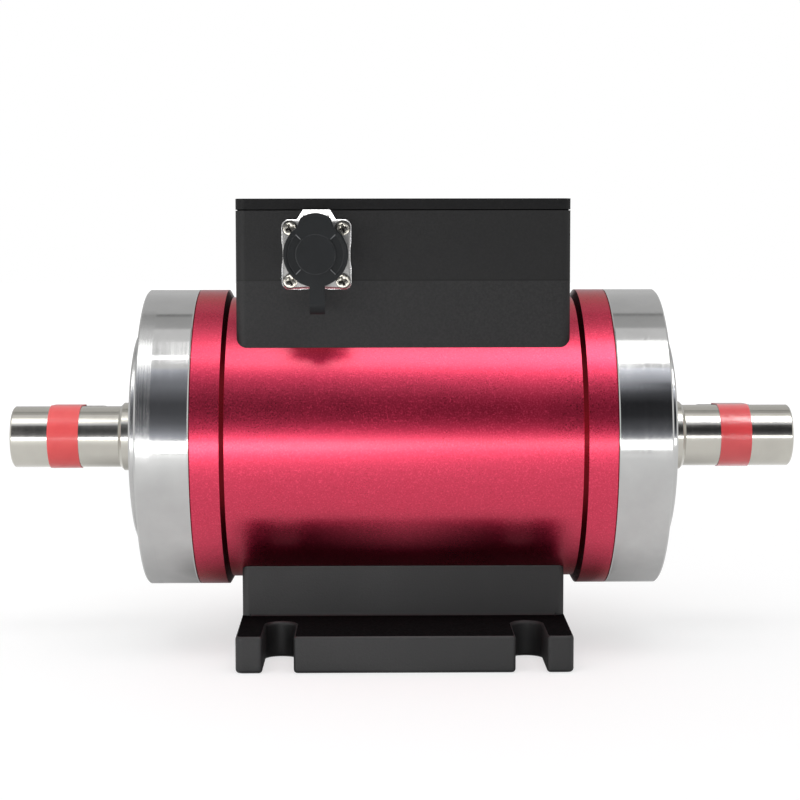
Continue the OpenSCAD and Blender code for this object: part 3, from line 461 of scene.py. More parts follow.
PLASTIC_BLACK = (0.0095, 0.0108, 0.0118)
# Black rubber painted darker still, as the shade in the slit between box and lid
GASKET_PAINTED_SHADE = (0.0025, 0.0025, 0.0026)
RUBBER_BLACK = (0.018, 0.018, 0.018)
FORMER_CREAM = (0.72, 0.70, 0.64)
CHIP_BLACK = (0.03, 0.03, 0.032)
MOULDED_DULL = 0.8
MOULDED_PALE = 1.12


def moulded_skin(tree, shader, colour, rough):
    """Gives a shader a moulding's fine eroded skin. Returns its cloudy colour."""
    place = object_place(tree)
    skin = noise_node(tree, place, spots=1400, detail=3.0)
    cloud = noise_node(tree, place, spots=180, detail=3.0)
    join(tree, shader, Roughness=uneven(tree, skin, rough, less=0.06, more=0.08),
         Normal=bump_node(tree, skin, strength=0.12, depth=0.06 * MM))
    return mix_colours(tree, spread(tree, cloud), shaded(colour, MOULDED_DULL), shaded(colour, MOULDED_PALE))


def moulded_material(name, colour, rough, gloss=0.45):
    """Moulded plastic or rubber with a fine eroded skin."""
    material, tree, shader = new_material(name, Specular_IOR_Level=gloss)
    join(tree, shader, Base_Color=moulded_skin(tree, shader, colour, rough))
    return material


# Flip cap, with its finger pockets' places measured from its middle

# Painted highlights along the cap's diagonals and its pockets' edges
EDGE_HIGHLIGHT_GREY = (0.24, 0.245, 0.25)
HIGHLIGHT_WIDTH = 0.22 * MM
HIGHLIGHT_CORE = 0.5
HIGHLIGHT_START = 5.7 * MM * math.sqrt(2)
HIGHLIGHT_END = 7.7 * MM * math.sqrt(2)
POCKET_INNER = 5.4 * MM
POCKET_OUTER = 7.6 * MM
RING_CORE = 0.3
RING_HIGHLIGHT = 0.12
HIGHLIGHT_PATCH_RANGE = (0.35, 0.6)
HIGHLIGHT_LEAST = 0.5


def ring_line(tree, radius, ring_radius):
    """A faint painted highlight line round a middle, at one distance from it."""
    off_ring = apart(tree, radius, ring_radius)
    return range_node(tree, off_ring, HIGHLIGHT_WIDTH * RING_CORE, HIGHLIGHT_WIDTH, RING_HIGHLIGHT, 0.0)


def cap_material(name, rough, gloss):
    """Moulded flip cap, with painted highlights on the diagonals and along the edges of its two finger
    pockets.
    """
    material, tree, shader = new_material(name, Specular_IOR_Level=gloss)
    plain = moulded_skin(tree, shader, PLASTIC_BLACK, rough)
    x, _, z = split_place(tree)
    across = apart(tree, x, cap_middle_x)
    upright = apart(tree, z, cap_middle_z)
    radius = diagonal(tree, across, upright)
    on_line = fall(tree, apart(tree, across, upright), HIGHLIGHT_WIDTH * HIGHLIGHT_CORE, HIGHLIGHT_WIDTH)
    reach = plus(tree, across, upright)
    outside = rise(tree, reach, HIGHLIGHT_START, HIGHLIGHT_START + HIGHLIGHT_WIDTH)
    inside = fall(tree, reach, HIGHLIGHT_END - HIGHLIGHT_WIDTH, HIGHLIGHT_END)
    beside = rise(tree, minus(tree, across, upright), -HIGHLIGHT_WIDTH, HIGHLIGHT_WIDTH)
    inner_ring = ring_line(tree, radius, POCKET_INNER)
    outer_ring = times(tree, ring_line(tree, radius, POCKET_OUTER), beside)
    lines = largest(tree, times(tree, on_line, outside, inside), inner_ring, outer_ring)
    patches = noise_node(tree, object_place(tree), spots=700, detail=2.0)
    patchy_highlight = range_node(tree, patches, *HIGHLIGHT_PATCH_RANGE, HIGHLIGHT_LEAST, 1.0)
    # The pale lines are painted highlights, made patchy by noise.
    skin = mix_colours(tree, times(tree, lines, patchy_highlight), plain, EDGE_HIGHLIGHT_GREY)
    join(tree, shader, Base_Color=skin)
    return material


# Black anodising of the base, the box and its lid

BLACK = (0.0080, 0.0080, 0.0083)
BOX_BLACK = (0.0085, 0.0085, 0.0086)
LID_BLACK = (0.0050, 0.0050, 0.0052)
BLACK_DARK = 0.7
BLACK_PALE = 1.45
BLACK_CLOUDING = 0.03
SPECK_RANGE = (0.35, 0.75)
CUTTER_STRETCH = (0.02, 1.0, 1.0)
DULLER_START = -0.01
DULLER_END = 0.05
DULLER_BLUR = 0.10
MILL_LINE_DROP = 19.3 * MM
MILL_LINE_CORE = 0.10 * MM
MILL_LINE_WIDTH = 0.30 * MM
MILL_LINE_DARK = 0.4
SANDY_DARK = 1.7
SANDY_PALE = 2.3
SANDY_BLUR = 0.06
mill_line_z = box_top - MILL_LINE_DROP


def blasted_black(name, colour, rough, grain_strength, line_strength, gloss, mill_edge=None):
    """Matte black anodising: a sandy grain, cutter lines along X, and a rougher finish below an edge.

    It gets a little duller towards the right end of the shaft."""
    material, tree, shader = new_material(name, Specular_IOR_Level=gloss)
    place = object_place(tree)
    along, _, height = split_place(tree)
    grain = noise_node(tree, place, spots=1700, detail=2.0, roughness=0.65)
    lines = noise_node(tree, object_place(tree, CUTTER_STRETCH), spots=1300, detail=3.0)
    cloud = noise_node(tree, place, spots=45, detail=3.0)
    speck = rise(tree, grain, *SPECK_RANGE)
    paler = shaded(colour, BLACK_PALE)
    skin = mix_colours(tree, speck, shaded(colour, BLACK_DARK), paler)
    blur = plus(tree, uneven(tree, grain, rough, less=0.06, more=0.06),
                spread(tree, cloud, -BLACK_CLOUDING, BLACK_CLOUDING),
                range_node(tree, along, DULLER_START, DULLER_END, 0.0, DULLER_BLUR))
    if mill_edge is not None:
        below = rise(tree, height, mill_edge + MILL_LINE_CORE, mill_edge - MILL_LINE_CORE)
        sandy = mix_colours(tree, speck, shaded(colour, SANDY_DARK), shaded(paler, SANDY_PALE))
        skin = mix_colours(tree, below, skin, sandy)
        on_edge = fall(tree, apart(tree, height, mill_edge), MILL_LINE_CORE, MILL_LINE_WIDTH)
        skin = mix_colours(tree, on_edge, skin, shaded(colour, MILL_LINE_DARK))
        blur = plus(tree, blur, times(tree, below, SANDY_BLUR))
    normal = bump_node(tree, lines, strength=line_strength, depth=0.05 * MM)
    normal = bump_node(tree, grain, strength=grain_strength, depth=0.12 * MM, below=normal)
    join(tree, shader, Base_Color=skin, Roughness=blur, Normal=normal)
    return material


# Circuit boards

MASK_GREEN = (0.02, 0.16, 0.06, 1)
MASK_PALER = (0.025, 0.19, 0.07, 1)
TRACK_GREEN = (0.05, 0.27, 0.10, 1)


def board_material(name, rough):
    """Green solder mask over copper tracks that run square to each other."""
    material, tree, shader = new_material(name, Specular_IOR_Level=0.5)
    place = object_place(tree)
    tracks = add_node(tree, "ShaderNodeTexBrick", Scale=260.0, Mortar_Size=0.05,
                      Color1=MASK_GREEN, Color2=MASK_PALER, Mortar=TRACK_GREEN)
    tree.links.new(place, tracks.inputs["Vector"])
    weave = noise_node(tree, place, spots=1200, detail=2.0)
    blur = uneven(tree, weave, rough, less=0.05, more=0.10)
    normal = bump_node(tree, tracks.outputs["Fac"], strength=0.2, depth=0.05 * MM)
    join(tree, shader, Base_Color=tracks.outputs["Color"], Roughness=blur, Normal=normal)
    return material


# Tape round the keys

LEFT_TAPE_DEEP = (0.80, 0.088, 0.092)
LEFT_TAPE_PALE = (0.88, 0.112, 0.112)
RIGHT_TAPE_DEEP = (0.82, 0.066, 0.074)
RIGHT_TAPE_PALE = (0.90, 0.080, 0.090)
TAPE_ROUGH = 0.35
WRINKLE_STRETCH = (1.0, 0.35, 0.35)
CREASE_STRETCH = (1.0, 0.6, 0.6)


def tape_material(name, deep, pale, coat, creases):
    """Glossy red film tape with soft wrinkles, and creases in its clear face."""
    material, tree, shader = new_material(
        name, Specular_IOR_Level=0.3, Coat_Weight=coat, Coat_Roughness=0.09, Coat_IOR=1.5)
    wrinkle = noise_node(tree, object_place(tree, WRINKLE_STRETCH), spots=420, detail=3.0)
    crease = noise_node(tree, object_place(tree, CREASE_STRETCH), spots=900, detail=3.0, roughness=0.6)
    cloud = noise_node(tree, object_place(tree), spots=150, detail=2.0)
    skin = mix_colours(tree, spread(tree, cloud), deep, pale)
    blur = uneven(tree, wrinkle, TAPE_ROUGH, less=0.07, more=0.07)
    normal = bump_node(tree, wrinkle, strength=0.25, depth=0.12 * MM)
    coat_normal = bump_node(tree, crease, strength=creases, depth=0.25 * MM)
    join(tree, shader, Base_Color=skin, Roughness=blur, Normal=normal, Coat_Normal=coat_normal)
    return material


# A finish for every node: its own, or else that of its material slot

slot_materials = {
    "anodised_red": anodised_material("anodised_red", rough=0.28),
    "bright_metal": turned_material("bright_metal", CAP_METAL, rough=0.11, line_strength=0.10),
    "black_anodised": blasted_black("black_anodised", BLACK, rough=0.52, grain_strength=0.35,
                                    line_strength=0.12, gloss=0.50),
    "screw_steel": ground_metal("screw_steel", SCREW_STEEL, rough=0.22),
    "seal_rubber": moulded_material("seal_rubber", RUBBER_BLACK, rough=0.62, gloss=0.3),
    "nickel": ground_metal("nickel", NICKEL, rough=0.30, spots=2600, bump=0.10),
    "black_plastic": moulded_material("black_plastic", PLASTIC_BLACK, rough=0.44, gloss=0.22),
    "contact_gold": ground_metal("contact_gold", CONTACT_GOLD, rough=0.20),
    "bearing_steel": ground_metal("bearing_steel", BEARING_STEEL, rough=0.16),
    "cage_brass": ground_metal("cage_brass", CAGE_BRASS, rough=0.28),
    "coil_former": moulded_material("coil_former", FORMER_CREAM, rough=0.50),
    "copper_wire": ground_metal("copper_wire", COPPER, rough=0.30, stretch=WIRE_STRETCH),
    "circuit_board": board_material("circuit_board", rough=0.30),
    "board_parts": moulded_material("board_parts", CHIP_BLACK, rough=0.42),
    "standoff_brass": ground_metal("standoff_brass", STANDOFF_BRASS, rough=0.25),
    "shaft_steel": turned_material("shaft_steel", SHAFT_METAL, rough=0.15, line_strength=0.12),
    "key_steel": ground_metal("key_steel", KEY_STEEL, rough=0.25),
    "red_tape": tape_material("red_tape", RIGHT_TAPE_DEEP, RIGHT_TAPE_PALE, coat=1.0, creases=0.7),
    "gauge_foil": ground_metal("gauge_foil", GAUGE_FOIL, rough=0.30),
}
node_materials = {
    "connector_screws": screw_material("connector_screw", rough=0.20),
    "connector_shell": flange_material("flange", rough=0.30),
    "connector_cap": cap_material("cap_plastic", rough=0.44, gloss=0.19),
    "end_cap_left": turned_material("turned_left", CAP_METAL, rough=0.10, line_strength=0.10,
                                    band=turning_band, band_strength=0.21,
                                    edge=(tube_low.x - EDGE_BREAK, tube_low.x)),
    "end_cap_right": turned_material("turned_right", CAP_METAL, rough=0.11, line_strength=0.10,
                                     edge=(tube_high.x + EDGE_BREAK, tube_high.x), scratches=0.05),
    "key_tape_left": tape_material("tape_left", LEFT_TAPE_DEEP, LEFT_TAPE_PALE, coat=0.25, creases=0.12),
    "electronics_box": blasted_black("box_black", BOX_BLACK, rough=0.52, grain_strength=0.40,
                                     line_strength=0.14, gloss=0.27, mill_edge=mill_line_z),
    "box_lid": blasted_black("lid_black", LID_BLACK, rough=0.50, grain_strength=0.25,
                             line_strength=0.16, gloss=0.17),
    # The gasket is painted darker than rubber, as shade in the slit between box and lid.
    "lid_gasket": moulded_material("joint_rubber", GASKET_PAINTED_SHADE, rough=0.75, gloss=0.0),
}

for part in frame["record"]["subparts"]:
    node_name = part["node"]
    node_object = frame["nodes"][node_name]
    finish = node_materials.get(node_name, slot_materials[part["material_slot"]])
    node_object.data.materials.clear()
    node_object.data.materials.append(finish)


# Softened edges on the machined and moulded pieces

WELD_DISTANCE = 0.001 * MM
SHARP_ANGLE = math.radians(35)
SOFT_SEGMENTS = 2

# Widest edge of each node, in millimetres
edge_widths = {
    "electronics_box": 0.10,
    "box_lid": 0.08,
    "connector_cap": 0.25,
    "connector_screws": 0.30,
}


def weight_normals(piece, keep_sharp):
    """Keeps a piece's flat faces flat beside its rounded edges."""
    normals = piece.modifiers.new("normals", "WEIGHTED_NORMAL")
    normals.mode = "FACE_AREA_WITH_ANGLE"
    normals.keep_sharp = keep_sharp


def soften(node_name, width):
    """Rounds a node's edges by up to a width in millimetres, and by less where edges lie close."""
    node_object = frame["nodes"][node_name]
    weld = node_object.modifiers.new("weld", "WELD")
    weld.merge_threshold = WELD_DISTANCE
    bevel = node_object.modifiers.new("edge", "BEVEL")
    bevel.width = width * MM
    bevel.segments = SOFT_SEGMENTS
    bevel.limit_method = "ANGLE"
    bevel.angle_limit = SHARP_ANGLE
    bevel.miter_outer = "MITER_ARC"
    bevel.use_clamp_overlap = True
    bevel.harden_normals = False
    weight_normals(node_object, keep_sharp=False)


for node_name, width in edge_widths.items():
    soften(node_name, width)


# Copy of the base with wider edges on its foot and narrower ones above

FLAT_ANGLE = math.radians(0.5)
LEVEL_LIMIT = 0.9
ROUND_PROFILE = 0.5
COPY_SEGMENTS = 3
FOOT_EDGE = 1.0 * MM
PEDESTAL_EDGE = 0.15 * MM
FOOT_THICKNESS = 10.3 * MM

# A height just above the foot and the small fillet on it
FOOT_LIMIT = 12.0 * MM


def on_foot(first, second):
    """Whether an edge belongs to the foot, below the pedestal."""
    return first.z < FOOT_LIMIT and second.z < FOOT_LIMIT


def above_foot(first, second):
    """Whether an edge belongs to the pedestal or the saddle."""
    return first.z > FOOT_LIMIT and second.z > FOOT_LIMIT


def on_foot_top(face):
    """Whether a face of the base is the level top of its foot."""
    return face.normal.z > LEVEL_LIMIT and face.calc_center_median().z < FOOT_LIMIT


def dressed_copy(node_name, body, edge_rules, second_material, second_test):
    """A copy of a node whose edges are bevelled by rules, and which stands for it.

    Each rule is a width and a test on an edge's two ends. Faces that pass the second test take the second
    material."""
    source = frame["nodes"][node_name]
    shape = bmesh.new()
    shape.from_mesh(source.data)
    bmesh.ops.remove_doubles(shape, verts=shape.verts, dist=WELD_DISTANCE)
    bmesh.ops.dissolve_limit(shape, angle_limit=FLAT_ANGLE, verts=shape.verts, edges=shape.edges,
                             use_dissolve_boundaries=False)
    for width, test in edge_rules:
        chosen = [edge for edge in shape.edges if len(edge.link_faces) == 2 and edge.is_convex
                  and edge.calc_face_angle() > SHARP_ANGLE and test(edge.verts[0].co, edge.verts[1].co)]
        bmesh.ops.bevel(shape, geom=chosen, offset=width, offset_type="OFFSET", segments=COPY_SEGMENTS,
                        profile=ROUND_PROFILE, affect="EDGES", clamp_overlap=False)
    for face in shape.faces:
        face.smooth = True
        face.material_index = 1 if second_test(face) else 0
    for edge in shape.edges:
        edge.smooth = len(edge.link_faces) == 2 and edge.calc_face_angle() < SHARP_ANGLE
    mesh = bpy.data.meshes.new(node_name + "_dressed")
    shape.to_mesh(mesh)
    shape.free()
    mesh.materials.append(source.data.materials[0])
    mesh.materials.append(second_material)
    piece = bpy.data.objects.new(node_name + "_dressed", mesh)
    scene.collection.objects.link(piece)
    weight_normals(piece, keep_sharp=True)
    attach(piece, body)
    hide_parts(node_name)


# The foot's top takes a copy of the black finish without gloss, painted darker as the shade under the tube
# and box.
foot_top_painted_shade = blasted_black("foot_top_painted_shade", BLACK, rough=0.60, grain_strength=0.25, line_strength=0.12,
                               gloss=0.0)
dressed_copy("base_foot", "housing", [(FOOT_EDGE, on_foot), (PEDESTAL_EDGE, above_foot)],
             foot_top_painted_shade, on_foot_top)


# Camera at the photograph's viewing angle

camera_place = Vector((-7.0, -549.9, 114.8)) * MM
camera_pitch = math.radians(4.593)
camera_yaw = math.radians(0.664)
camera_roll = math.radians(-0.084)
forward = Vector((math.sin(camera_yaw) * math.cos(camera_pitch),
                  math.cos(camera_yaw) * math.cos(camera_pitch), -math.sin(camera_pitch)))
level_right = Vector((math.cos(camera_yaw), -math.sin(camera_yaw), 0))
level_up = level_right.cross(forward)
right = level_right * math.cos(camera_roll) + level_up * math.sin(camera_roll)
upward = level_up * math.cos(camera_roll) - level_right * math.sin(camera_roll)

camera_data = bpy.data.cameras.new("camera")
camera_data.sensor_width = 36
camera_data.lens = 83.93
camera_data.clip_start = 0.01
camera_data.clip_end = 50
camera = bpy.data.objects.new("camera", camera_data)
facing = Matrix((right, upward, -forward)).transposed().to_4x4()
camera.matrix_world = Matrix.Translation(camera_place) @ facing
scene.collection.objects.link(camera)
scene.camera = camera


# Studio helpers

WHITE = (1, 1, 1, 1)
UNLIT = (0, 0, 0, 1)


def shown_rays(tree):
    """1 for rays from the camera and for rays that metal or glass sends on, and 0 for other rays."""
    rays = tree.nodes.new("ShaderNodeLightPath")
    total = plus(tree, rays.outputs["Is Camera Ray"], rays.outputs["Is Glossy Ray"],
                 rays.outputs["Is Transmission Ray"])
    return math_node(tree, "MINIMUM", total, 1.0)


def level_corners(low, high, height):
    """Corners of a level rectangle between two places."""
    return [(low[0], low[1], height), (high[0], low[1], height),
            (high[0], high[1], height), (low[0], high[1], height)]


def upright_corners(left, right_end, y, foot, top):
    """Corners of an upright rectangle that faces the part from the front or the back."""
    return [(left, y, foot), (right_end, y, foot), (right_end, y, top), (left, y, top)]


def flat_sheet(name, corners):
    """A flat four-sided sheet that belongs to the stage."""
    mesh = bpy.data.meshes.new(name)
    mesh.from_pydata([tuple(corner) for corner in corners], [], [(0, 1, 2, 3)])
    sheet = bpy.data.objects.new(name, mesh)
    scene.collection.objects.link(sheet)
    return sheet


def hidden_sheet(name, corners, lights_matte=False):
    """A sheet without a shadow that shows in reflections only, and may light matte faces too."""
    sheet = flat_sheet(name, corners)
    sheet.visible_camera = False
    sheet.visible_diffuse = lights_matte
    sheet.visible_shadow = False
    return sheet


def glow_sheet(name, material_name, corners, level=1.0, lights_matte=False):
    """A hidden sheet that only sends out light. Returns its node tree and its shader."""
    sheet = hidden_sheet(name, corners, lights_matte)
    material, tree, shader = new_material(
        material_name, Base_Color=UNLIT, Roughness=1.0, Specular_IOR_Level=0.0,
        Emission_Color=WHITE, Emission_Strength=level)
    sheet.data.materials.append(material)
    return tree, shader


def reflection_card(name, low, high, height):
    """A hidden level sheet that light passes through. Returns its node tree and its place sockets."""
    card = hidden_sheet(name, level_corners(low, high, height))
    material = bpy.data.materials.new(name)
    material.use_nodes = True
    material.node_tree.nodes.clear()
    card.data.materials.append(material)
    x, y, _ = split_place(material.node_tree)
    return material.node_tree, x, y


def veil_and_glow(tree, added, passed=None):
    """Ends a card's tree: the light that it adds, and the share that passes through it, if not all."""
    clear = tree.nodes.new("ShaderNodeBsdfTransparent")
    if passed is not None:
        tree.links.new(passed, clear.inputs["Color"])
    glow = tree.nodes.new("ShaderNodeEmission")
    tree.links.new(added, glow.inputs["Strength"])
    both = tree.nodes.new("ShaderNodeAddShader")
    tree.links.new(clear.outputs[0], both.inputs[0])
    tree.links.new(glow.outputs[0], both.inputs[1])
    output = tree.nodes.new("ShaderNodeOutputMaterial")
    tree.links.new(both.outputs[0], output.inputs["Surface"])


# White surround and floor

AMBIENT = 0.80
FLOOR_HALF = 6.0
FLOOR_GREY = (0.45, 0.45, 0.45, 1)
FLOOR_FADE = (0.25, 1.2)
FLOOR_GLOW = (0.60, 0.75)

world = bpy.data.worlds.new("studio")
world.use_nodes = True
scene.world = world
background = world.node_tree.nodes["Background"]
background.inputs["Color"].default_value = WHITE
ambient_level = range_node(world.node_tree, shown_rays(world.node_tree), 0.0, 1.0, AMBIENT, 1.0)
join(world.node_tree, background, Strength=ambient_level)

floor = flat_sheet("floor", level_corners((-FLOOR_HALF, -FLOOR_HALF), (FLOOR_HALF, FLOOR_HALF), 0))
floor_material, floor_tree, floor_shader = new_material(
    "floor_white", Base_Color=FLOOR_GREY, Roughness=0.9, Specular_IOR_Level=0.0, Emission_Color=WHITE)
floor_x, floor_y, _ = split_place(floor_tree)
floor_reach = diagonal(floor_tree, floor_x, floor_y)
floor_glow = range_node(floor_tree, floor_reach, *FLOOR_FADE, *FLOOR_GLOW)
join(floor_tree, floor_shader, Emission_Strength=times(floor_tree, floor_glow, shown_rays(floor_tree)))
floor.data.materials.append(floor_material)


# Dark screen in front. Each stop is a share of its height and a grey level

SCREEN_Y = -0.45
SCREEN_LEFT = -0.30
SCREEN_RIGHT = 0.60
SCREEN_FOOT = 0.085
SCREEN_TOP = 0.76
COOL_TINT = (0.94, 0.97, 1.07)
FAR_LEFT_STOPS = [
    (0.0, 0.62), (0.03, 0.38), (0.08, 0.15), (0.20, 0.06), (0.32, 0.05), (0.66, 0.07), (0.72, 0.70),
    (0.80, 1.00), (1.0, 1.30)]
LEFT_STOPS = [
    (0.0, 0.95), (0.03, 0.66), (0.08, 0.36), (0.14, 0.19), (0.23, 0.12), (0.34, 0.11), (0.46, 0.20),
    (0.57, 0.31), (0.68, 0.37), (0.80, 0.48), (1.0, 0.80)]
RIGHT_STOPS = [
    (0.0, 0.50), (0.03, 0.32), (0.08, 0.14), (0.20, 0.04), (0.34, 0.03), (0.45, 0.12), (0.49, 0.22),
    (0.55, 0.47), (0.78, 0.68), (0.90, 1.05), (1.0, 1.5)]
FAR_RIGHT_STOPS = [
    (0.0, 0.42), (0.03, 0.26), (0.08, 0.13), (0.20, 0.06), (0.32, 0.05), (0.60, 0.07), (0.66, 0.60),
    (0.78, 0.90), (0.90, 1.20), (1.0, 1.5)]
LEFT_TO_RIGHT = (-0.09, 0.05)
TO_FAR_LEFT = (-0.160, -0.185)
TO_FAR_RIGHT = (0.145, 0.170)

screen_corners = upright_corners(SCREEN_LEFT, SCREEN_RIGHT, SCREEN_Y, SCREEN_FOOT, SCREEN_TOP)
screen_tree, screen_shader = glow_sheet("dark_screen", "screen_dark", screen_corners, lights_matte=True)
screen_x, _, screen_z = split_place(screen_tree)
screen_height = rise(screen_tree, screen_z, SCREEN_FOOT, SCREEN_TOP)


def screen_ramp(stops):
    """A ramp up the screen, its greys tinted a little towards blue."""
    cool_stops = [(place, tuple(grey * part for part in COOL_TINT)) for place, grey in stops]
    return ramp_node(screen_tree, screen_height, cool_stops)


screen_grey = screen_ramp(LEFT_STOPS)
screen_fades = (
    (LEFT_TO_RIGHT, RIGHT_STOPS),
    (TO_FAR_LEFT, FAR_LEFT_STOPS),
    (TO_FAR_RIGHT, FAR_RIGHT_STOPS),
)
for fade, stops in screen_fades:
    screen_share = rise(screen_tree, screen_x, *fade)
    screen_grey = mix_colours(screen_tree, screen_share, screen_grey, screen_ramp(stops))
join(screen_tree, screen_shader, Emission_Color=screen_grey)


# Grey screen behind, by shares of its height, and dim ceiling, by metres from front to back

REAR_Y = 0.50
REAR_HALF = 1.2
REAR_FOOT = 1.0 * MM
REAR_TOP = 0.30
REAR_STOPS = [(0.0, 0.30), (0.25, 0.40), (0.5, 0.58), (1.0, 0.66)]
CEILING_Z = 1.16
CEILING_HALF = 3.0
CEILING_FRONT = 0.1
CEILING_BACK = 4.2
CEILING_STOPS = [(0.10, 0.62), (0.38, 0.55), (0.42, 0.32), (0.46, 0.32), (0.49, 0.70)]

rear_tree, rear_shader = glow_sheet(
    "rear_screen", "rear_grey", upright_corners(-REAR_HALF, REAR_HALF, REAR_Y, REAR_FOOT, REAR_TOP))
_, _, rear_z = split_place(rear_tree)
rear_height = rise(rear_tree, rear_z, 0.0, REAR_TOP)
join(rear_tree, rear_shader, Emission_Color=ramp_node(rear_tree, rear_height, REAR_STOPS))

ceiling_tree, ceiling_shader = glow_sheet(
    "dim_ceiling", "ceiling_grey",
    level_corners((-CEILING_HALF, CEILING_FRONT), (CEILING_HALF, CEILING_BACK), CEILING_Z))
_, ceiling_y, _ = split_place(ceiling_tree)
join(ceiling_tree, ceiling_shader, Emission_Color=ramp_node(ceiling_tree, ceiling_y, CEILING_STOPS))


# Card that dims the floor's reflection below the tube, in the slots and beside the base

SHADE_DEPTH = 0.88
SHADE_GREY = 0.05
SHADE_HALF = 0.14
SHADE_FRONT = -0.075
SHADE_BACK = 0.36
SHADE_HEIGHT = 0.4 * MM
BACK_FADE = (0.14, SHADE_BACK)
BODY_SIDE = (0.045, 0.115)
BODY_FRONT = (-0.034, 0.024)
SLOTS_SIDE = (0.044, 0.050)
SLOTS_FRONT = (-0.057, -0.047)
RINGS_RIGHT = (0.059, 0.067)
RINGS_LEFT = (-0.076, -0.052)
RINGS_INNER = (0.040, 0.050)
RINGS_FRONT = (-0.040, -0.008)
GAP_HALF = 0.018
GAP_SHADE = 0.2

shade_tree, shade_x, shade_y = reflection_card(
    "floor_shade", (-SHADE_HALF, SHADE_FRONT), (SHADE_HALF, SHADE_BACK), SHADE_HEIGHT)
shade_side = math_node(shade_tree, "ABSOLUTE", shade_x)
under_body = times(shade_tree, fall(shade_tree, shade_side, *BODY_SIDE),
                   rise(shade_tree, shade_y, *BODY_FRONT))
in_slots = times(shade_tree, fall(shade_tree, shade_side, *SLOTS_SIDE),
                 rise(shade_tree, shade_y, *SLOTS_FRONT))
under_rings = times(shade_tree, fall(shade_tree, shade_x, *RINGS_RIGHT),
                    rise(shade_tree, shade_x, *RINGS_LEFT),
                    rise(shade_tree, shade_side, *RINGS_INNER), rise(shade_tree, shade_y, *RINGS_FRONT))
middle_gap = range_node(shade_tree, shade_side, 0.0, GAP_HALF, GAP_SHADE, 1.0)
shade_mask = times(shade_tree, largest(shade_tree, under_body, in_slots, under_rings), middle_gap,
                   fall(shade_tree, shade_y, *BACK_FADE))
veil_and_glow(shade_tree, times(shade_tree, shade_mask, SHADE_GREY),
              passed=range_node(shade_tree, shade_mask, 0.0, 1.0, 1.0, 1.0 - SHADE_DEPTH))


# Cards that brighten the reflection of the foot's middle and of the floor in front

SHEEN_LEVEL = 0.40
SHEEN_HALF = 0.030
SHEEN_BACK = -0.022
SHEEN_FADE = (-0.044, -0.024)
SHEEN_CLEARANCE = 0.5 * MM
GLOW_LEVEL = 0.34
GLOW_LEFT = -1.2
GLOW_RIGHT = 0.12
GLOW_FRONT = -0.46
GLOW_BACK = -0.11
GLOW_HEIGHT = 0.6 * MM
GLOW_FADE_X = -0.02
GLOW_FADE_Y = -0.26

sheen_tree, sheen_x, sheen_y = reflection_card(
    "foot_sheen", (-SHEEN_HALF, foot_front), (SHEEN_HALF, SHEEN_BACK), FOOT_THICKNESS + SHEEN_CLEARANCE)
sheen_side = math_node(sheen_tree, "ABSOLUTE", sheen_x)
veil_and_glow(sheen_tree, times(sheen_tree, fall(sheen_tree, sheen_side, 0.0, SHEEN_HALF),
                                fall(sheen_tree, sheen_y, *SHEEN_FADE), SHEEN_LEVEL))

glow_tree, glow_x, glow_y = reflection_card(
    "front_glow", (GLOW_LEFT, GLOW_FRONT), (GLOW_RIGHT, GLOW_BACK), GLOW_HEIGHT)
veil_and_glow(glow_tree, times(glow_tree, fall(glow_tree, glow_x, GLOW_FADE_X, GLOW_RIGHT),
                               fall(glow_tree, glow_y, GLOW_FADE_Y, GLOW_BACK), GLOW_LEVEL))


# Bright patch and soft lamps, overhead ones by their elevation round the shaft's axis, in degrees

LAMP_DISTANCE = 0.90
FRONT_LAMP_Y = -0.44
PATCH_DISTANCE = 0.85
PATCH_LEVEL = 18.0
PATCH_LEFT = 0.265
PATCH_RIGHT = 0.40
PATCH_LOW = 50
PATCH_HIGH = 73


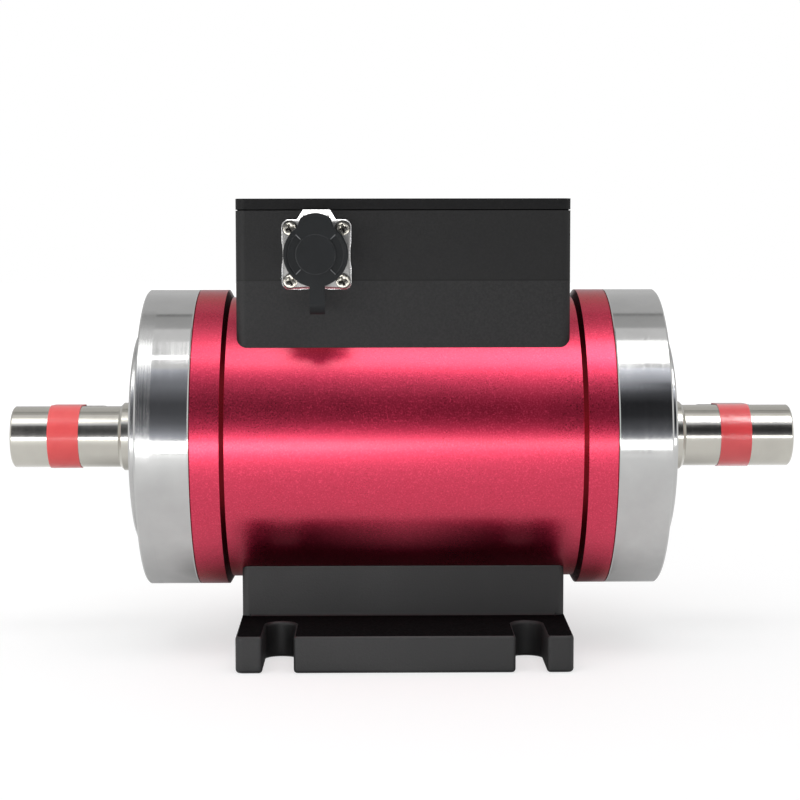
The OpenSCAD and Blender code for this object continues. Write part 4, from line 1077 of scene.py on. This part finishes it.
def around_axis(elevation, distance, x):
    """A place in front of the shaft's axis, at an elevation in degrees above it."""
    angle = math.radians(elevation)
    return Vector((x, -distance * math.cos(angle), axis_z + distance * math.sin(angle)))


def soft_lamp(name, place, target, width, height, brightness):
    """A rectangular area lamp that faces a target. Its brightness is that of its face, where 1 is white."""
    data = bpy.data.lights.new(name, "AREA")
    data.shape = "RECTANGLE"
    data.size = width
    data.size_y = height
    data.energy = brightness * math.pi * width * height
    lamp = bpy.data.objects.new(name, data)
    lamp.location = place
    lamp.rotation_euler = (Vector(target) - Vector(place)).to_track_quat("-Z", "Y").to_euler()
    lamp.visible_camera = False
    scene.collection.objects.link(lamp)


def overhead_lamp(name, elevation, x, width, height, brightness):
    """A lamp above the part that faces the shaft's axis."""
    soft_lamp(name, around_axis(elevation, LAMP_DISTANCE, x), (x, 0, axis_z), width, height, brightness)


def front_lamp(name, x, z, width, height, brightness):
    """A lamp in front of the part that faces straight back."""
    soft_lamp(name, (x, FRONT_LAMP_Y, z), (x, 0, z), width, height, brightness)


patch_corners = [
    around_axis(PATCH_LOW, PATCH_DISTANCE, PATCH_LEFT),
    around_axis(PATCH_LOW, PATCH_DISTANCE, PATCH_RIGHT),
    around_axis(PATCH_HIGH, PATCH_DISTANCE, PATCH_RIGHT),
    around_axis(PATCH_HIGH, PATCH_DISTANCE, PATCH_LEFT),
]
glow_sheet("bright_patch", "patch_white", patch_corners, level=PATCH_LEVEL)
overhead_lamp("key_softbox", elevation=71.5, x=0.10, width=0.46, height=0.315, brightness=2.75)
overhead_lamp("left_strip", elevation=67, x=-0.38, width=0.50, height=0.05, brightness=2.6)
overhead_lamp("left_softbox", elevation=67.5, x=-0.35, width=0.24, height=0.33, brightness=1.9)
front_lamp("left_panel", x=-0.46, z=0.19, width=0.32, height=0.21, brightness=2.2)
front_lamp("front_strip_left", x=-0.55, z=0.043, width=1.1, height=0.060, brightness=5.6)
front_lamp("front_strip_right", x=0.55, z=0.050, width=1.1, height=0.046, brightness=4.2)

scene.view_settings.view_transform = "Standard"
